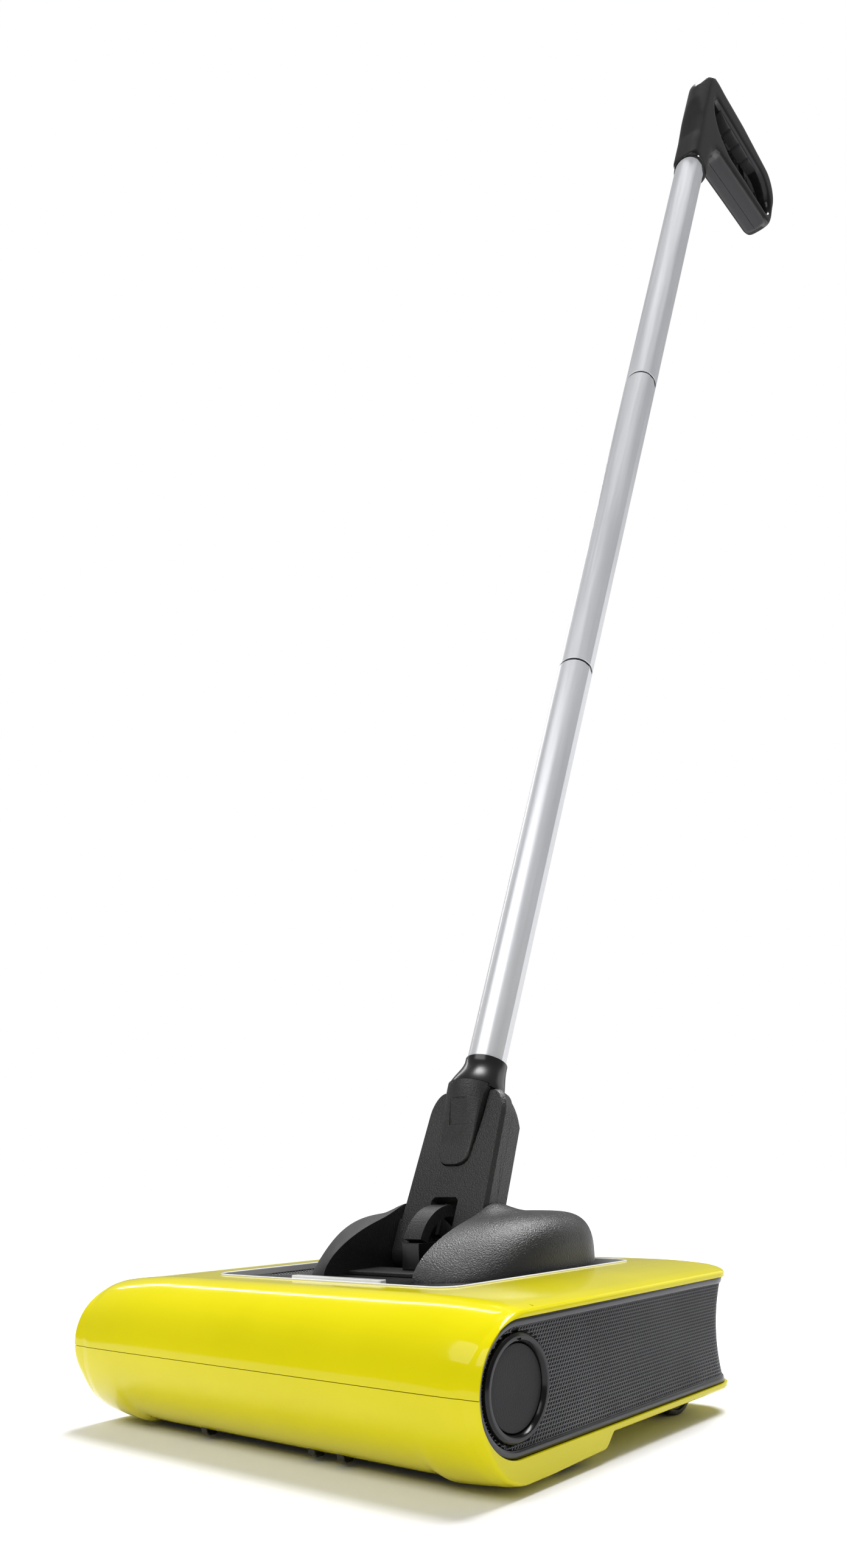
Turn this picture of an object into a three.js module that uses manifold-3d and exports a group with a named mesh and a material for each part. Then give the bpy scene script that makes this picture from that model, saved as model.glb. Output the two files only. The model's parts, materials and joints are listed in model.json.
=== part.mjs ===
// Cordless carpet sweeper: a low powered sweeping head with a jointed three-section handle.
// Millimetres, +Z up, the head's front faces -Y. The origin is the bottom centre of the whole object's box.
import * as THREE from 'three';
import { mergeVertices } from 'three/addons/utils/BufferGeometryUtils.js';
import Module from 'manifold-3d';

const wasm = await Module();
wasm.setup();

// ---------- driving dimensions ----------
const GAP = 0.3;                       // running or assembly clearance between pieces
const GROUND = -3;                     // height of the floor; the heights below count from 3 mm above it
const WIDTH = 266;                     // head, side to side
const HALF = WIDTH / 2;
const TOP = 74.6;                      // head's top face, where it meets the deck
const TOP_EDGE = 71;                   // the top falls to this height at the side edges
const REAR = 119.5;                    // head's rear edge, from the head's centre
const WALL = 2.6;                      // shell thickness
const NOSE = { y: -77.7, z: 39.8, r: 34.8, drop: 40.1 };  // rounded front, an ellipse below its centre
const SEAM = 39;                       // height of the parting line between the shells
const PLATE_BOTTOM = 9;                // underside of the lower shell behind the brush
const WINDOW = { low: 12.4, high: 67.8, y: -83 };  // opening in the shells that the side grilles fill
const REAR_CORNER = 20;                // plan radius of the rear corners
// The ends of the nose reach lower and run further back.
const SKID = { inner: 104, drop: 42.5, back: -17 };

const DECK = { half: 80.3, front: -62.5, back: 104, top: 72, thick: 2.6, corner: 12 };
const TANK = { half: 77, front: -36, back: 62, low: 16, high: 68.8, wall: 2 };

const BRUSH = { y: -68, z: 24.4, tip: 26.6, core: 13, half: 98, rows: 4 };
const MOTOR = { y: -18, z: 34, r: 14, from: -106, to: -84, bore: 11.4, armature: 10.6 };
const BELT_X = 111;                    // the belt runs in this plane on the left (-X) side
const BRUSH_PULLEY = 10.5;
const MOTOR_PULLEY = 4.2;
const CAP = { y: -83.5, z: 40.2, ring: 22, bore: 18 };

const REAR_WHEEL = { x: 108, y: 84, r: 18, w: 14 };
const FRONT_WHEEL = { x: 118, y: -38, r: 10, w: 14 };
const axleHeight = (wheel) => GROUND + wheel.r;

const PIVOT = { y: 34, z: 80 };        // tilt axis of the handle, along X
const LEAN = THREE.MathUtils.degToRad(22.4);       // the handle leans back this far at rest
const SLOT_HALF = 30.4;                // half the slot between the two lobes of the dome
const PIN_R = 4;
const PIN_HALF = 45;
const TUBE = { base: 119.5, r: 11.6, bore: 10.2, lower: 288.4, middle: 267.5, upper: 245 };
const GRIP_HALF = 11;                  // half the thickness of the hand grip

// ---------- helpers ----------
const UP = new THREE.Vector3(0, 0, 1);
const SIDEWAYS = new THREE.Matrix4().makeBasis(
  new THREE.Vector3(0, 1, 0), UP, new THREE.Vector3(1, 0, 0));

function solid(geometry) {
  const bare = geometry.clone();
  bare.deleteAttribute('normal');
  bare.deleteAttribute('uv');
  const merged = mergeVertices(bare, 1e-4);
  return new wasm.Manifold(new wasm.Mesh({
    numProp: 3,
    vertProperties: new Float32Array(merged.attributes.position.array),
    triVerts: new Uint32Array(merged.index.array),
  }));
}

function geometryOf(manifold) {
  const mesh = manifold.getMesh();
  const geometry = new THREE.BufferGeometry();
  geometry.setAttribute('position', new THREE.BufferAttribute(new Float32Array(mesh.vertProperties), 3));
  geometry.setIndex(new THREE.BufferAttribute(new Uint32Array(mesh.triVerts), 1));
  const flat = geometry.toNonIndexed();
  flat.computeVertexNormals();
  return flat;
}

const join = (...parts) => parts.reduce((all, next) => all.add(next));
const cut = (body, ...tools) => tools.reduce((rest, tool) => rest.subtract(tool), body);
const common = (...parts) => parts.reduce((all, next) => all.intersect(next));

function outline(points) {
  return new THREE.Shape(points.map(([a, b]) => new THREE.Vector2(a, b)));
}

function arc(cx, cy, r, from, to, steps = 10) {
  return Array.from({ length: steps + 1 }, (_, i) => {
    const t = THREE.MathUtils.degToRad(from + (to - from) * i / steps);
    return [cx + r * Math.cos(t), cy + r * Math.sin(t)];
  });
}

// A flat outline in (y, z) swept along X.
function acrossX(points, x0, x1) {
  const g = new THREE.ExtrudeGeometry(outline(points), { depth: x1 - x0, bevelEnabled: false });
  g.applyMatrix4(SIDEWAYS).translate(x0, 0, 0);
  return solid(g);
}

// A flat outline in (x, y) swept along Z.
function upZ(points, z0, z1) {
  const g = new THREE.ExtrudeGeometry(outline(points), { depth: z1 - z0, bevelEnabled: false });
  return solid(g.translate(0, 0, z0));
}

// A flat outline in (x, z) swept along Y.
function alongY(points, y0, y1) {
  const g = new THREE.ExtrudeGeometry(outline(points), { depth: y1 - y0, bevelEnabled: false });
  return solid(g.rotateX(Math.PI / 2).translate(0, y1, 0));
}

function box(x0, x1, y0, y1, z0, z1) {
  const g = new THREE.BoxGeometry(x1 - x0, y1 - y0, z1 - z0);
  return solid(g.translate((x0 + x1) / 2, (y0 + y1) / 2, (z0 + z1) / 2));
}

function rodX(r, x0, x1, y, z, sides = 24) {
  return acrossX(arc(y, z, r, 0, 360 - 360 / sides, sides - 1), x0, x1);
}

function rodZ(r, z0, z1, x, y, sides = 24) {
  return upZ(arc(x, y, r, 0, 360 - 360 / sides, sides - 1), z0, z1);
}

function roundedRect(x0, x1, y0, y1, r, steps = 5) {
  return [
    ...arc(x1 - r, y1 - r, r, 0, 90, steps), ...arc(x0 + r, y1 - r, r, 90, 180, steps),
    ...arc(x0 + r, y0 + r, r, 180, 270, steps), ...arc(x1 - r, y0 + r, r, 270, 360, steps),
  ];
}

const mirrorX = (body) => body.mirror([1, 0, 0]);

// ---------- materials ----------
const material = (color, roughness, metalness = 0) =>
  new THREE.MeshStandardMaterial({ color, roughness, metalness });
const YELLOW = material(0xf2e205, 0.12);
const GRAINED = material(0x1b1b1c, 0.55);
const SMOOTH = material(0x161617, 0.25);
const GRILLE = material(0x2b2c2e, 0.5);
const SILVER = material(0xb9babd, 0.35, 0.9);
const STEEL = material(0x9fa1a5, 0.3, 1);
const RUBBER = material(0x141414, 0.8);
const BRISTLE = material(0x1f1f22, 0.7);
const CLEAR_GREY = material(0x3a3c40, 0.3);
const BOARD = material(0x1d5a35, 0.6);
const RIM = material(0xd8d8da, 0.25, 0.6);

const sweeper = new THREE.Group();

function add(parent, name, body, mat) {
  const mesh = new THREE.Mesh(geometryOf(body), mat);
  mesh.name = name;
  parent.add(mesh);
  return mesh;
}

// ---------- head shells ----------
const FAR = 200;                       // cutting outlines run this far past the head
function planOutline(inset) {
  const r = REAR_CORNER - inset;
  const x = HALF - inset;
  const y = REAR - inset;
  return [[-x, -FAR], [x, -FAR], ...arc(x - r, y - r, r, 0, 90, 8), ...arc(-x + r, y - r, r, 90, 180, 8)];
}

// The nose below its centre, from the given angle down to its lowest point.
const underNose = (r, drop, from) => arc(NOSE.y, NOSE.z, r, from, 270, 12)
  .map(([y, z]) => [y, NOSE.z + (z - NOSE.z) * drop / r]);

// Side view of the head: a round nose running into flat top and bottom plates.
function headProfile(inset, bottom) {
  const r = NOSE.r - inset;
  const drop = NOSE.drop - inset;
  const end = REAR + FAR;
  return [
    [end, TOP - inset], ...arc(NOSE.y, NOSE.z, r, 90, 175, 12), ...underNose(r, drop, 180),
    [NOSE.y + 8, NOSE.z - drop], [NOSE.y + 8, bottom], [end, bottom],
  ];
}

// Front view of the head: the top is crowned and falls away towards both sides.
function crown(inset) {
  const x = HALF - inset;
  const right = [[x, TOP_EDGE - 2], [x - 2, TOP_EDGE], [x - 18, TOP_EDGE + 1.8], [84, TOP]]
    .map(([a, b]) => [a, b - inset]);
  return [[-x, GROUND], [x, GROUND], ...right, ...right.reverse().map(([a, b]) => [-a, b])];
}

const headSolid = (inset, bottom) => common(
  acrossX(headProfile(inset, bottom), -HALF + inset, HALF - inset),
  upZ(planOutline(inset), GROUND, TOP + 1),
  alongY(crown(inset), -FAR, FAR));
const headOuter = () => headSolid(0, PLATE_BOTTOM);
const headCavity = () => headSolid(WALL, PLATE_BOTTOM + WALL);

const windowHalf = (WINDOW.high - WINDOW.low) / 2;
const windowMid = (WINDOW.high + WINDOW.low) / 2;
const windowProfile = (inset) => [
  [REAR + FAR, WINDOW.high - inset],
  ...arc(WINDOW.y, windowMid, windowHalf - inset, 90, 270, 20),
  [REAR + FAR, WINDOW.low + inset],
];
const windowCut = () => acrossX(windowProfile(0), -HALF - 5, HALF + 5);

function deckOutline(grow) {
  const half = DECK.half + grow;
  return roundedRect(-half, half, DECK.front - grow, DECK.back + grow, DECK.corner + grow);
}

const upperShell = cut(
  common(headOuter(), box(-HALF, HALF, -FAR, FAR, SEAM + GAP / 2, TOP + 1)),
  headCavity(), windowCut(), upZ(deckOutline(GAP), SEAM, TOP + 1));
add(sweeper, 'upper_shell', upperShell, YELLOW);

function skid(side) {
  const low = NOSE.z - SKID.drop;
  const top = PLATE_BOTTOM + WALL - 0.1;
  const front = underNose(NOSE.r, SKID.drop, 215);
  const profile = [
    ...front, [SKID.back - 3, low], [SKID.back + 6, PLATE_BOTTOM + 0.5],
    [SKID.back + 6, top], [front[0][0] + 3, top],
  ];
  const block = acrossX(profile, SKID.inner, HALF);
  return side > 0 ? block : mirrorX(block);
}

const POCKET = { side: 2, round: 1.5 }; // room beside and round a wheel
const wheelPocket = (wheel, side) => box(
  side * wheel.x - wheel.w / 2 - POCKET.side, side * wheel.x + wheel.w / 2 + POCKET.side,
  wheel.y - wheel.r - POCKET.round, wheel.y + wheel.r + POCKET.round,
  GROUND - 1, axleHeight(wheel) + wheel.r + POCKET.round);

const AXLE = { r: 2, reach: 4.5 };    // an axle runs this far past its wheel on both sides
const axleBore = (wheel, side) => {
  const x = side * wheel.x;
  const reach = wheel.w / 2 + AXLE.reach + GAP;
  return rodX(AXLE.r + GAP, x - reach, x + reach, wheel.y, axleHeight(wheel), 12);
};

const MOUTH = { half: 100, front: -84.6, back: -39, top: 30 };   // opening for the brush
const SCREW = { head: 3.2, shank: 1.4, sink: 1.5, reach: 22 };
const SCREWS = [[96, -6], [-96, -6], [70, 92], [-70, 92]];
const screwHoles = () => join(...SCREWS.map(([x, y]) => join(
  rodZ(SCREW.head + GAP, 0, PLATE_BOTTOM + SCREW.sink, x, y, 14),
  rodZ(SCREW.shank + GAP, 0, SCREW.reach, x, y, 10))));
const lowerHalf = cut(
  common(headOuter(), box(-HALF, HALF, -FAR, FAR, GROUND, SEAM - GAP / 2)),
  headCavity());
const lowerShell = cut(
  join(lowerHalf, skid(1), skid(-1)),
  windowCut(),
  box(-MOUTH.half, MOUTH.half, MOUTH.front, MOUTH.back, GROUND, MOUTH.top),
  wheelPocket(REAR_WHEEL, 1), wheelPocket(REAR_WHEEL, -1),
  wheelPocket(FRONT_WHEEL, 1), wheelPocket(FRONT_WHEEL, -1),
  axleBore(FRONT_WHEEL, 1), axleBore(FRONT_WHEEL, -1), screwHoles());
add(sweeper, 'lower_shell', lowerShell, YELLOW);

// ---------- dark band round the sides and rear ----------
const BAND = { inset: 1.4, thick: 2.6, split: 42 };    // the side panels end this far from the middle
const band = () => cut(
  upZ(planOutline(BAND.inset), WINDOW.low + GAP, WINDOW.high - GAP),
  upZ(planOutline(BAND.inset + BAND.thick), 0, TOP));
const capCentre = [CAP.y, CAP.z];
const sideGrille = cut(
  common(band(), acrossX(windowProfile(GAP), BAND.split, HALF + 5)),
  rodX(CAP.ring + GAP, HALF - 30, HALF + 5, ...capCentre, 36));
add(sweeper, 'side_grille_right', sideGrille, GRILLE);
add(sweeper, 'side_grille_left', mirrorX(sideGrille), GRILLE);
const SOCKET = { half: 7, low: 22, high: 34, deep: 14, hole: 3.2 };
const rearGrille = cut(
  common(band(), box(-BAND.split + GAP, BAND.split - GAP, 0, REAR, 0, TOP)),
  box(-SOCKET.half - GAP, SOCKET.half + GAP, REAR - 30, REAR, SOCKET.low - GAP, SOCKET.high + GAP));
add(sweeper, 'rear_grille', rearGrille, GRILLE);
const socketFace = REAR - BAND.inset - 0.2;
const socketHole = new THREE.CylinderGeometry(SOCKET.hole, SOCKET.hole, 10, 20)
  .translate(0, socketFace, (SOCKET.low + SOCKET.high) / 2);
const chargeSocket = cut(
  box(-SOCKET.half, SOCKET.half, socketFace - SOCKET.deep, socketFace, SOCKET.low, SOCKET.high),
  solid(socketHole));
add(sweeper, 'charge_socket', chargeSocket, SMOOTH);

// ---------- round end caps ----------
function capRing() {
  const outer = HALF - 0.6;
  return cut(
    join(
      rodX(CAP.ring, outer - 4, outer - 1, ...capCentre, 36),
      rodX(CAP.ring - 1.2, outer - 2, outer, ...capCentre, 36)),
    rodX(CAP.bore, HALF - 30, HALF + 5, ...capCentre, 36));
}
function capDisc() {
  const face = HALF - 2.2;
  return join(
    rodX(CAP.bore - GAP, face - 2.5, face, ...capCentre, 36),
    rodX(9, face - 7, face - 2, ...capCentre, 20));
}
add(sweeper, 'release_cap_ring', capRing(), SMOOTH);
add(sweeper, 'release_cap_disc', capDisc(), GRAINED);
add(sweeper, 'fixed_cap_ring', mirrorX(capRing()), SMOOTH);
add(sweeper, 'fixed_cap_disc', mirrorX(capDisc()), GRAINED);

// ---------- chassis ----------
const FLOOR = PLATE_BOTTOM + WALL + GAP;
const CRADLE = TANK.half + 1;          // the dust container slides up and down between these walls
const CHASSIS = { half: 122, front: -40, back: 100, low: FLOOR + 0.6, plate: 2, wall: 1.8, top: 66 };
const BULKHEAD = { half: 127, thick: 2.5 };
const wheelBoss = (side) => box(
  side * REAR_WHEEL.x - REAR_WHEEL.w / 2 - 5, side * REAR_WHEEL.x + REAR_WHEEL.w / 2 + 5,
  REAR_WHEEL.y - 6, REAR_WHEEL.y + 6, FLOOR + 1, axleHeight(REAR_WHEEL) + 5);
const cradleFront = CHASSIS.front + 1;
const cradleBack = TANK.back + 4;
const cradleWall = () => box(CRADLE, CRADLE + CHASSIS.wall, cradleFront, cradleBack, FLOOR + 1, CHASSIS.top);
const bulkheadCut = (half, x, low, high) => box(
  x - half, x + half, CHASSIS.front - 10, CHASSIS.front + 10, low, high);
const DUST_WAY = { half: 70, low: 22, high: 45 };      // the brush throws dirt through here
const chassis = cut(
  join(
    box(-CHASSIS.half, CHASSIS.half, CHASSIS.front, CHASSIS.back, CHASSIS.low, CHASSIS.low + CHASSIS.plate),
    box(
      -BULKHEAD.half, BULKHEAD.half, CHASSIS.front, CHASSIS.front + BULKHEAD.thick,
      CHASSIS.low, CHASSIS.top),
    cradleWall(), mirrorX(cradleWall()),
    box(-CRADLE, CRADLE, cradleBack - 2, cradleBack, FLOOR + 1, CHASSIS.top),
    wheelBoss(1), wheelBoss(-1)),
  bulkheadCut(DUST_WAY.half + 2, 0, DUST_WAY.low - 2, DUST_WAY.high + 1),
  bulkheadCut(5, -BELT_X, PLATE_BOTTOM + 3, MOTOR.z + 12),
  wheelPocket(REAR_WHEEL, 1), wheelPocket(REAR_WHEEL, -1),
  wheelPocket(FRONT_WHEEL, 1), wheelPocket(FRONT_WHEEL, -1),
  axleBore(REAR_WHEEL, 1), axleBore(REAR_WHEEL, -1), screwHoles());
add(sweeper, 'chassis', chassis, SMOOTH);
add(sweeper, 'sweep_lip', acrossX(
  [[-43.4, 0.8], [-41.6, 0.8], [-39.4, 8], [-39.4, 12.2], [-42.4, 12.2], [-42.4, 9]],
  -MOUTH.half + 4, MOUTH.half - 4), RUBBER);

// ---------- brush roller ----------
const brush = new THREE.Group();
sweeper.add(brush);
const brushAxis = [BRUSH.y, BRUSH.z];
const SPINDLE = 4;                     // radius of the brush's spindle
add(brush, 'brush_core', join(
  rodX(BRUSH.core, -BRUSH.half, BRUSH.half, ...brushAxis, 20),
  rodX(SPINDLE, -BELT_X - 10, BRUSH.half + 12, ...brushAxis, 16)), SMOOTH);
// A bristle row is a thin blade that winds half a turn along the core.
function bristleRow(start) {
  const root = BRUSH.core + GAP;
  const shape = outline([[-1.5, root], [1.5, root], [1.8, BRUSH.tip], [-1.8, BRUSH.tip]]);
  const length = 2 * BRUSH.half - 4;
  const g = new THREE.ExtrudeGeometry(shape, { depth: length, steps: 24, bevelEnabled: false });
  const p = g.attributes.position;
  for (let i = 0; i < p.count; i++) {
    const turn = start + Math.PI * p.getZ(i) / length;
    const a = p.getX(i);
    const b = p.getY(i);
    p.setXY(i, a * Math.cos(turn) - b * Math.sin(turn), a * Math.sin(turn) + b * Math.cos(turn));
  }
  g.applyMatrix4(SIDEWAYS).translate(-length / 2, BRUSH.y, BRUSH.z);
  return cut(solid(g), rodX(BRUSH.core + GAP / 2, -HALF, HALF, ...brushAxis, 20));
}
for (let row = 0; row < BRUSH.rows; row++) {
  add(brush, `bristle_row_${row + 1}`, bristleRow(row * 2 * Math.PI / BRUSH.rows), BRISTLE);
}
add(brush, 'brush_pulley', cut(
  rodX(BRUSH_PULLEY, -BELT_X - 4, -BELT_X + 4, ...brushAxis, 28),
  rodX(SPINDLE + GAP, -HALF, 0, ...brushAxis, 16)), SMOOTH);

const BEARING = { r: 10, thick: 4, top: 56, right: 102, left: -105.5 };
const bearing = (x) => cut(
  join(
    rodX(BEARING.r, x, x + BEARING.thick, ...brushAxis, 24),
    box(x, x + BEARING.thick, BRUSH.y - BEARING.r, BRUSH.y + BEARING.r, BRUSH.z, BEARING.top)),
  rodX(SPINDLE + GAP, -HALF, HALF, ...brushAxis, 16));
add(sweeper, 'brush_bearing_right', bearing(BEARING.right), STEEL);
add(sweeper, 'brush_bearing_left', bearing(BEARING.left), STEEL);

// ---------- drive ----------
const motorAxis = [MOTOR.y, MOTOR.z];
const CAN_END = 2;                     // thickness of the motor can's two ends
add(sweeper, 'motor', cut(
  join(
    rodX(MOTOR.r, MOTOR.from, MOTOR.to, ...motorAxis, 28),
    rodX(5, MOTOR.to - 0.2, MOTOR.to + 2, ...motorAxis, 16)),
  rodX(MOTOR.bore, MOTOR.from + CAN_END, MOTOR.to - CAN_END, ...motorAxis, 24),
  rodX(2.4, MOTOR.from - 5, MOTOR.from + 5, ...motorAxis, 12)), STEEL);
add(sweeper, 'motor_bracket', cut(
  box(MOTOR.from + 3, MOTOR.to - 4, MOTOR.y - 17, MOTOR.y + 17, FLOOR + 3, MOTOR.z),
  rodX(MOTOR.r + GAP, -HALF, 0, ...motorAxis, 28)), SMOOTH);
const rotor = new THREE.Group();
sweeper.add(rotor);
add(rotor, 'motor_rotor', join(
  rodX(2, -BELT_X - 5, MOTOR.to - CAN_END - 1, ...motorAxis, 12),
  rodX(MOTOR.armature, MOTOR.from + CAN_END + 1, MOTOR.to - CAN_END - 1, ...motorAxis, 24),
  rodX(MOTOR_PULLEY, -BELT_X - 4, -BELT_X + 4, ...motorAxis, 20)), STEEL);

// The belt is the ring between two hulls wrapped round both pulleys.
function beltLoop(grow) {
  const dy = MOTOR.y - BRUSH.y;
  const dz = MOTOR.z - BRUSH.z;
  const span = Math.hypot(dy, dz);
  const heading = Math.atan2(dz, dy) * 180 / Math.PI;
  const open = Math.acos((BRUSH_PULLEY - MOTOR_PULLEY) / span) * 180 / Math.PI;
  return [
    ...arc(BRUSH.y, BRUSH.z, BRUSH_PULLEY + grow, heading + open, heading + 360 - open, 20),
    ...arc(MOTOR.y, MOTOR.z, MOTOR_PULLEY + grow, heading - open, heading + open, 10),
  ];
}
const BELT = { half: 3.4, thick: 1.6 };
add(sweeper, 'drive_belt', cut(
  acrossX(beltLoop(GAP + BELT.thick), -BELT_X - BELT.half, -BELT_X + BELT.half),
  acrossX(beltLoop(GAP), -BELT_X - 5, -BELT_X + 5)), RUBBER);

// ---------- power ----------
const SIDE_BAY = { from: 84, to: 122, back: 62 };      // free space beside the dust container
add(sweeper, 'battery_pack', box(SIDE_BAY.from, SIDE_BAY.to, -28, SIDE_BAY.back, FLOOR + 3, 58), CLEAR_GREY);
add(sweeper, 'circuit_board', box(-SIDE_BAY.to + 2, -SIDE_BAY.from, 14, SIDE_BAY.back - 2, 30, 32), BOARD);

// ---------- wheels ----------
function wheelSet(name, wheel, side, hasTyre) {
  const x = side * wheel.x;
  const z = axleHeight(wheel);
  const group = new THREE.Group();
  sweeper.add(group);
  const hubR = hasTyre ? wheel.r - 3 : wheel.r;
  const hub = cut(
    rodX(hubR, x - wheel.w / 2 + 1, x + wheel.w / 2 - 1, wheel.y, z, 28),
    rodX(2.3, x - 20, x + 20, wheel.y, z, 12));
  add(group, `${name}_wheel`, hub, SMOOTH);
  if (hasTyre) {
    add(group, `${name}_tyre`, cut(
      rodX(wheel.r, x - wheel.w / 2, x + wheel.w / 2, wheel.y, z, 32),
      rodX(hubR + GAP, x - 20, x + 20, wheel.y, z, 28)), RUBBER);
  }
  const reach = wheel.w / 2 + AXLE.reach;
  add(sweeper, `${name}_axle`, rodX(AXLE.r, x - reach, x + reach, wheel.y, z, 12), STEEL);
}
for (const [word, side] of [['right', 1], ['left', -1]]) {
  wheelSet(`rear_${word}`, REAR_WHEEL, side, true);
  wheelSet(`front_${word}`, FRONT_WHEEL, side, false);
}

// ---------- lift-out dust container with its deck and dome ----------
const container = new THREE.Group();
sweeper.add(container);
const deckBottom = DECK.top - DECK.thick;
const rimInset = 2;
const HUB_R = 9;
const WELL = { half: SLOT_HALF + 0.2, front: 19, back: 50, low: PIVOT.z - HUB_R - 0.6 };
add(container, 'top_deck', cut(
  join(
    upZ(deckOutline(-rimInset), deckBottom, DECK.top),
    box(-WELL.half - 2, WELL.half + 2, WELL.front - 2, WELL.back + 2, WELL.low - 2, deckBottom + 0.5)),
  box(-WELL.half, WELL.half, WELL.front, WELL.back, WELL.low, 90)), SMOOTH);
add(container, 'deck_rim', cut(
  upZ(deckOutline(0), deckBottom, TOP + 0.3), upZ(deckOutline(GAP - rimInset), 50, 90)), RIM);
add(container, 'dust_container', cut(
  box(-TANK.half, TANK.half, TANK.front, TANK.back, TANK.low, TANK.high),
  box(-TANK.half + TANK.wall, TANK.half - TANK.wall, TANK.front + TANK.wall, TANK.back - TANK.wall,
    TANK.low + TANK.wall, TANK.high + 1),
  box(-DUST_WAY.half, DUST_WAY.half, TANK.front - 1, TANK.front + 5,
    DUST_WAY.low, DUST_WAY.high)), CLEAR_GREY);

// The dome is a superellipse in plan. It rises gently at the front and steeply at the sides and rear.
const DOME = { y: 60, half: 74, front: 92, rear: 40, height: 31.5, plan: 2.6, soft: 2, steep: 4.5 };
const DOME_BASE = DECK.top + GAP;
function domePoint(angle, level) {
  const c = Math.cos(angle);
  const n = Math.sin(angle);
  const steepness = DOME.steep - (DOME.steep - DOME.soft) * Math.max(0, -n);
  const reach = Math.pow(1 - Math.pow(level, steepness), 1 / steepness);
  const bulge = (v) => Math.sign(v) * Math.pow(Math.abs(v), 2 / DOME.plan);
  return [
    reach * DOME.half * bulge(c),
    DOME.y + reach * (n < 0 ? DOME.front : DOME.rear) * bulge(n),
    DOME_BASE + level * DOME.height,
  ];
}
function domeSolid() {
  const around = 40;
  const levels = [0, 0.25, 0.45, 0.62, 0.76, 0.87, 0.95];
  const positions = [];
  for (const level of levels) {
    for (let i = 0; i < around; i++) positions.push(...domePoint(2 * Math.PI * i / around, level));
  }
  const bottom = positions.length / 3;
  positions.push(0, DOME.y, DOME_BASE, 0, DOME.y, DOME_BASE + DOME.height);
  const faces = [];
  for (let i = 0; i < around; i++) {
    const next = (i + 1) % around;
    faces.push(bottom, next, i);
    for (let k = 0; k < levels.length - 1; k++) {
      const a = k * around + i;
      const b = k * around + next;
      faces.push(a, b, b + around, a, b + around, a + around);
    }
    const last = (levels.length - 1) * around;
    faces.push(last + i, last + next, bottom + 1);
  }
  const g = new THREE.BufferGeometry();
  g.setAttribute('position', new THREE.Float32BufferAttribute(positions, 3));
  g.setIndex(faces);
  return solid(g);
}
// A thin floor joins the two lobes in front of the tilt axis.
const BRIDGE = { front: -10, back: 16, thick: 2 };
const domeFloor = box(
  -SLOT_HALF - 3, SLOT_HALF + 3, BRIDGE.front, BRIDGE.back, DOME_BASE, DOME_BASE + BRIDGE.thick);
const pivotAxis = [PIVOT.y, PIVOT.z];
const dome = cut(
  join(cut(domeSolid(), box(-SLOT_HALF, SLOT_HALF, -FAR, FAR, 0, FAR)), domeFloor),
  rodX(PIN_R + GAP, -PIN_HALF - 1, PIN_HALF + 1, ...pivotAxis, 20));
add(container, 'joint_dome', dome, GRAINED);
add(container, 'pivot_pin', rodX(PIN_R, -PIN_HALF, PIN_HALF, ...pivotAxis, 20), STEEL);

// A curved arm over the tilt axis and a block in front of it, both between the neck's two legs.
const ARM = { half: 6, outer: 28, inner: 21.5, front: 154, back: 15 };
const armArc = [
  ...arc(PIVOT.y, PIVOT.z, ARM.outer, ARM.front, ARM.back, 18),
  ...arc(PIVOT.y, PIVOT.z, ARM.inner, ARM.back, ARM.front, 18),
];
const FOOT = { front: PIVOT.y + 21, back: PIVOT.y + 29, top: 90 };
add(container, 'park_arm', join(
  acrossX(armArc, -ARM.half, ARM.half),
  box(-ARM.half, ARM.half, FOOT.front, FOOT.back, DOME_BASE, FOOT.top)), GRAINED);
const BLOCK = { front: 6.5, back: 24, top: 87.5 };
add(container, 'park_block', box(
  -ARM.half, ARM.half, BLOCK.front, BLOCK.back, DOME_BASE + BRIDGE.thick + GAP, BLOCK.top), SMOOTH);

// ---------- handle, built upright on the tilt axis and then leaned back ----------
const handle = new THREE.Group();
handle.position.set(0, PIVOT.y, PIVOT.z);
handle.rotation.x = -LEAN;
sweeper.add(handle);

const NECK = {
  half: 29.6, low: 31, shoulder: 76, top: 97, front: 9, rear: 10.8, notch: 9.3, leg: 7, rearLow: 36,
};
const NECK_ROOM = 60;                  // more than half the neck in every direction
const neckFace = (bottom, shoulderHalf, topHalf, shoulder) => [
  [-bottom, NECK.low - 12], [bottom, NECK.low - 12], [shoulderHalf, shoulder],
  [topHalf + 3, NECK.top - 2.5], [topHalf, NECK.top],
  [-topHalf, NECK.top], [-topHalf - 3, NECK.top - 2.5], [-shoulderHalf, shoulder],
];
const hub = () => rodX(HUB_R, -NECK.half - 0.2, NECK.half + 0.2, 0, 0, 28);
const legs = () => box(-NECK.half, NECK.half, -NECK.leg, NECK.leg, 0, NECK.low);
const neckBody = () => cut(
  join(hub(), legs(), alongY(neckFace(NECK.half, 27.4, 17, NECK.top - 9), -NECK.front, NECK.front)),
  box(-NECK.notch, NECK.notch, -NECK_ROOM, NECK_ROOM, -NECK_ROOM, NECK.low),
  rodX(PIN_R + 0.1, -NECK_ROOM, NECK_ROOM, 0, 0, 24));
const TONGUE = { top: 98.5, low: 50, topHalf: 14, lowHalf: 10, proud: 2, deep: 5, travel: 2 };
const tongueFace = (grow) => [
  [-TONGUE.lowHalf - grow + 4, TONGUE.low - grow], [TONGUE.lowHalf + grow - 4, TONGUE.low - grow],
  [TONGUE.lowHalf + grow, TONGUE.low + 4], [TONGUE.topHalf + grow, TONGUE.top + grow],
  [-TONGUE.topHalf - grow, TONGUE.top + grow], [-TONGUE.lowHalf - grow, TONGUE.low + 4],
];
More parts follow.
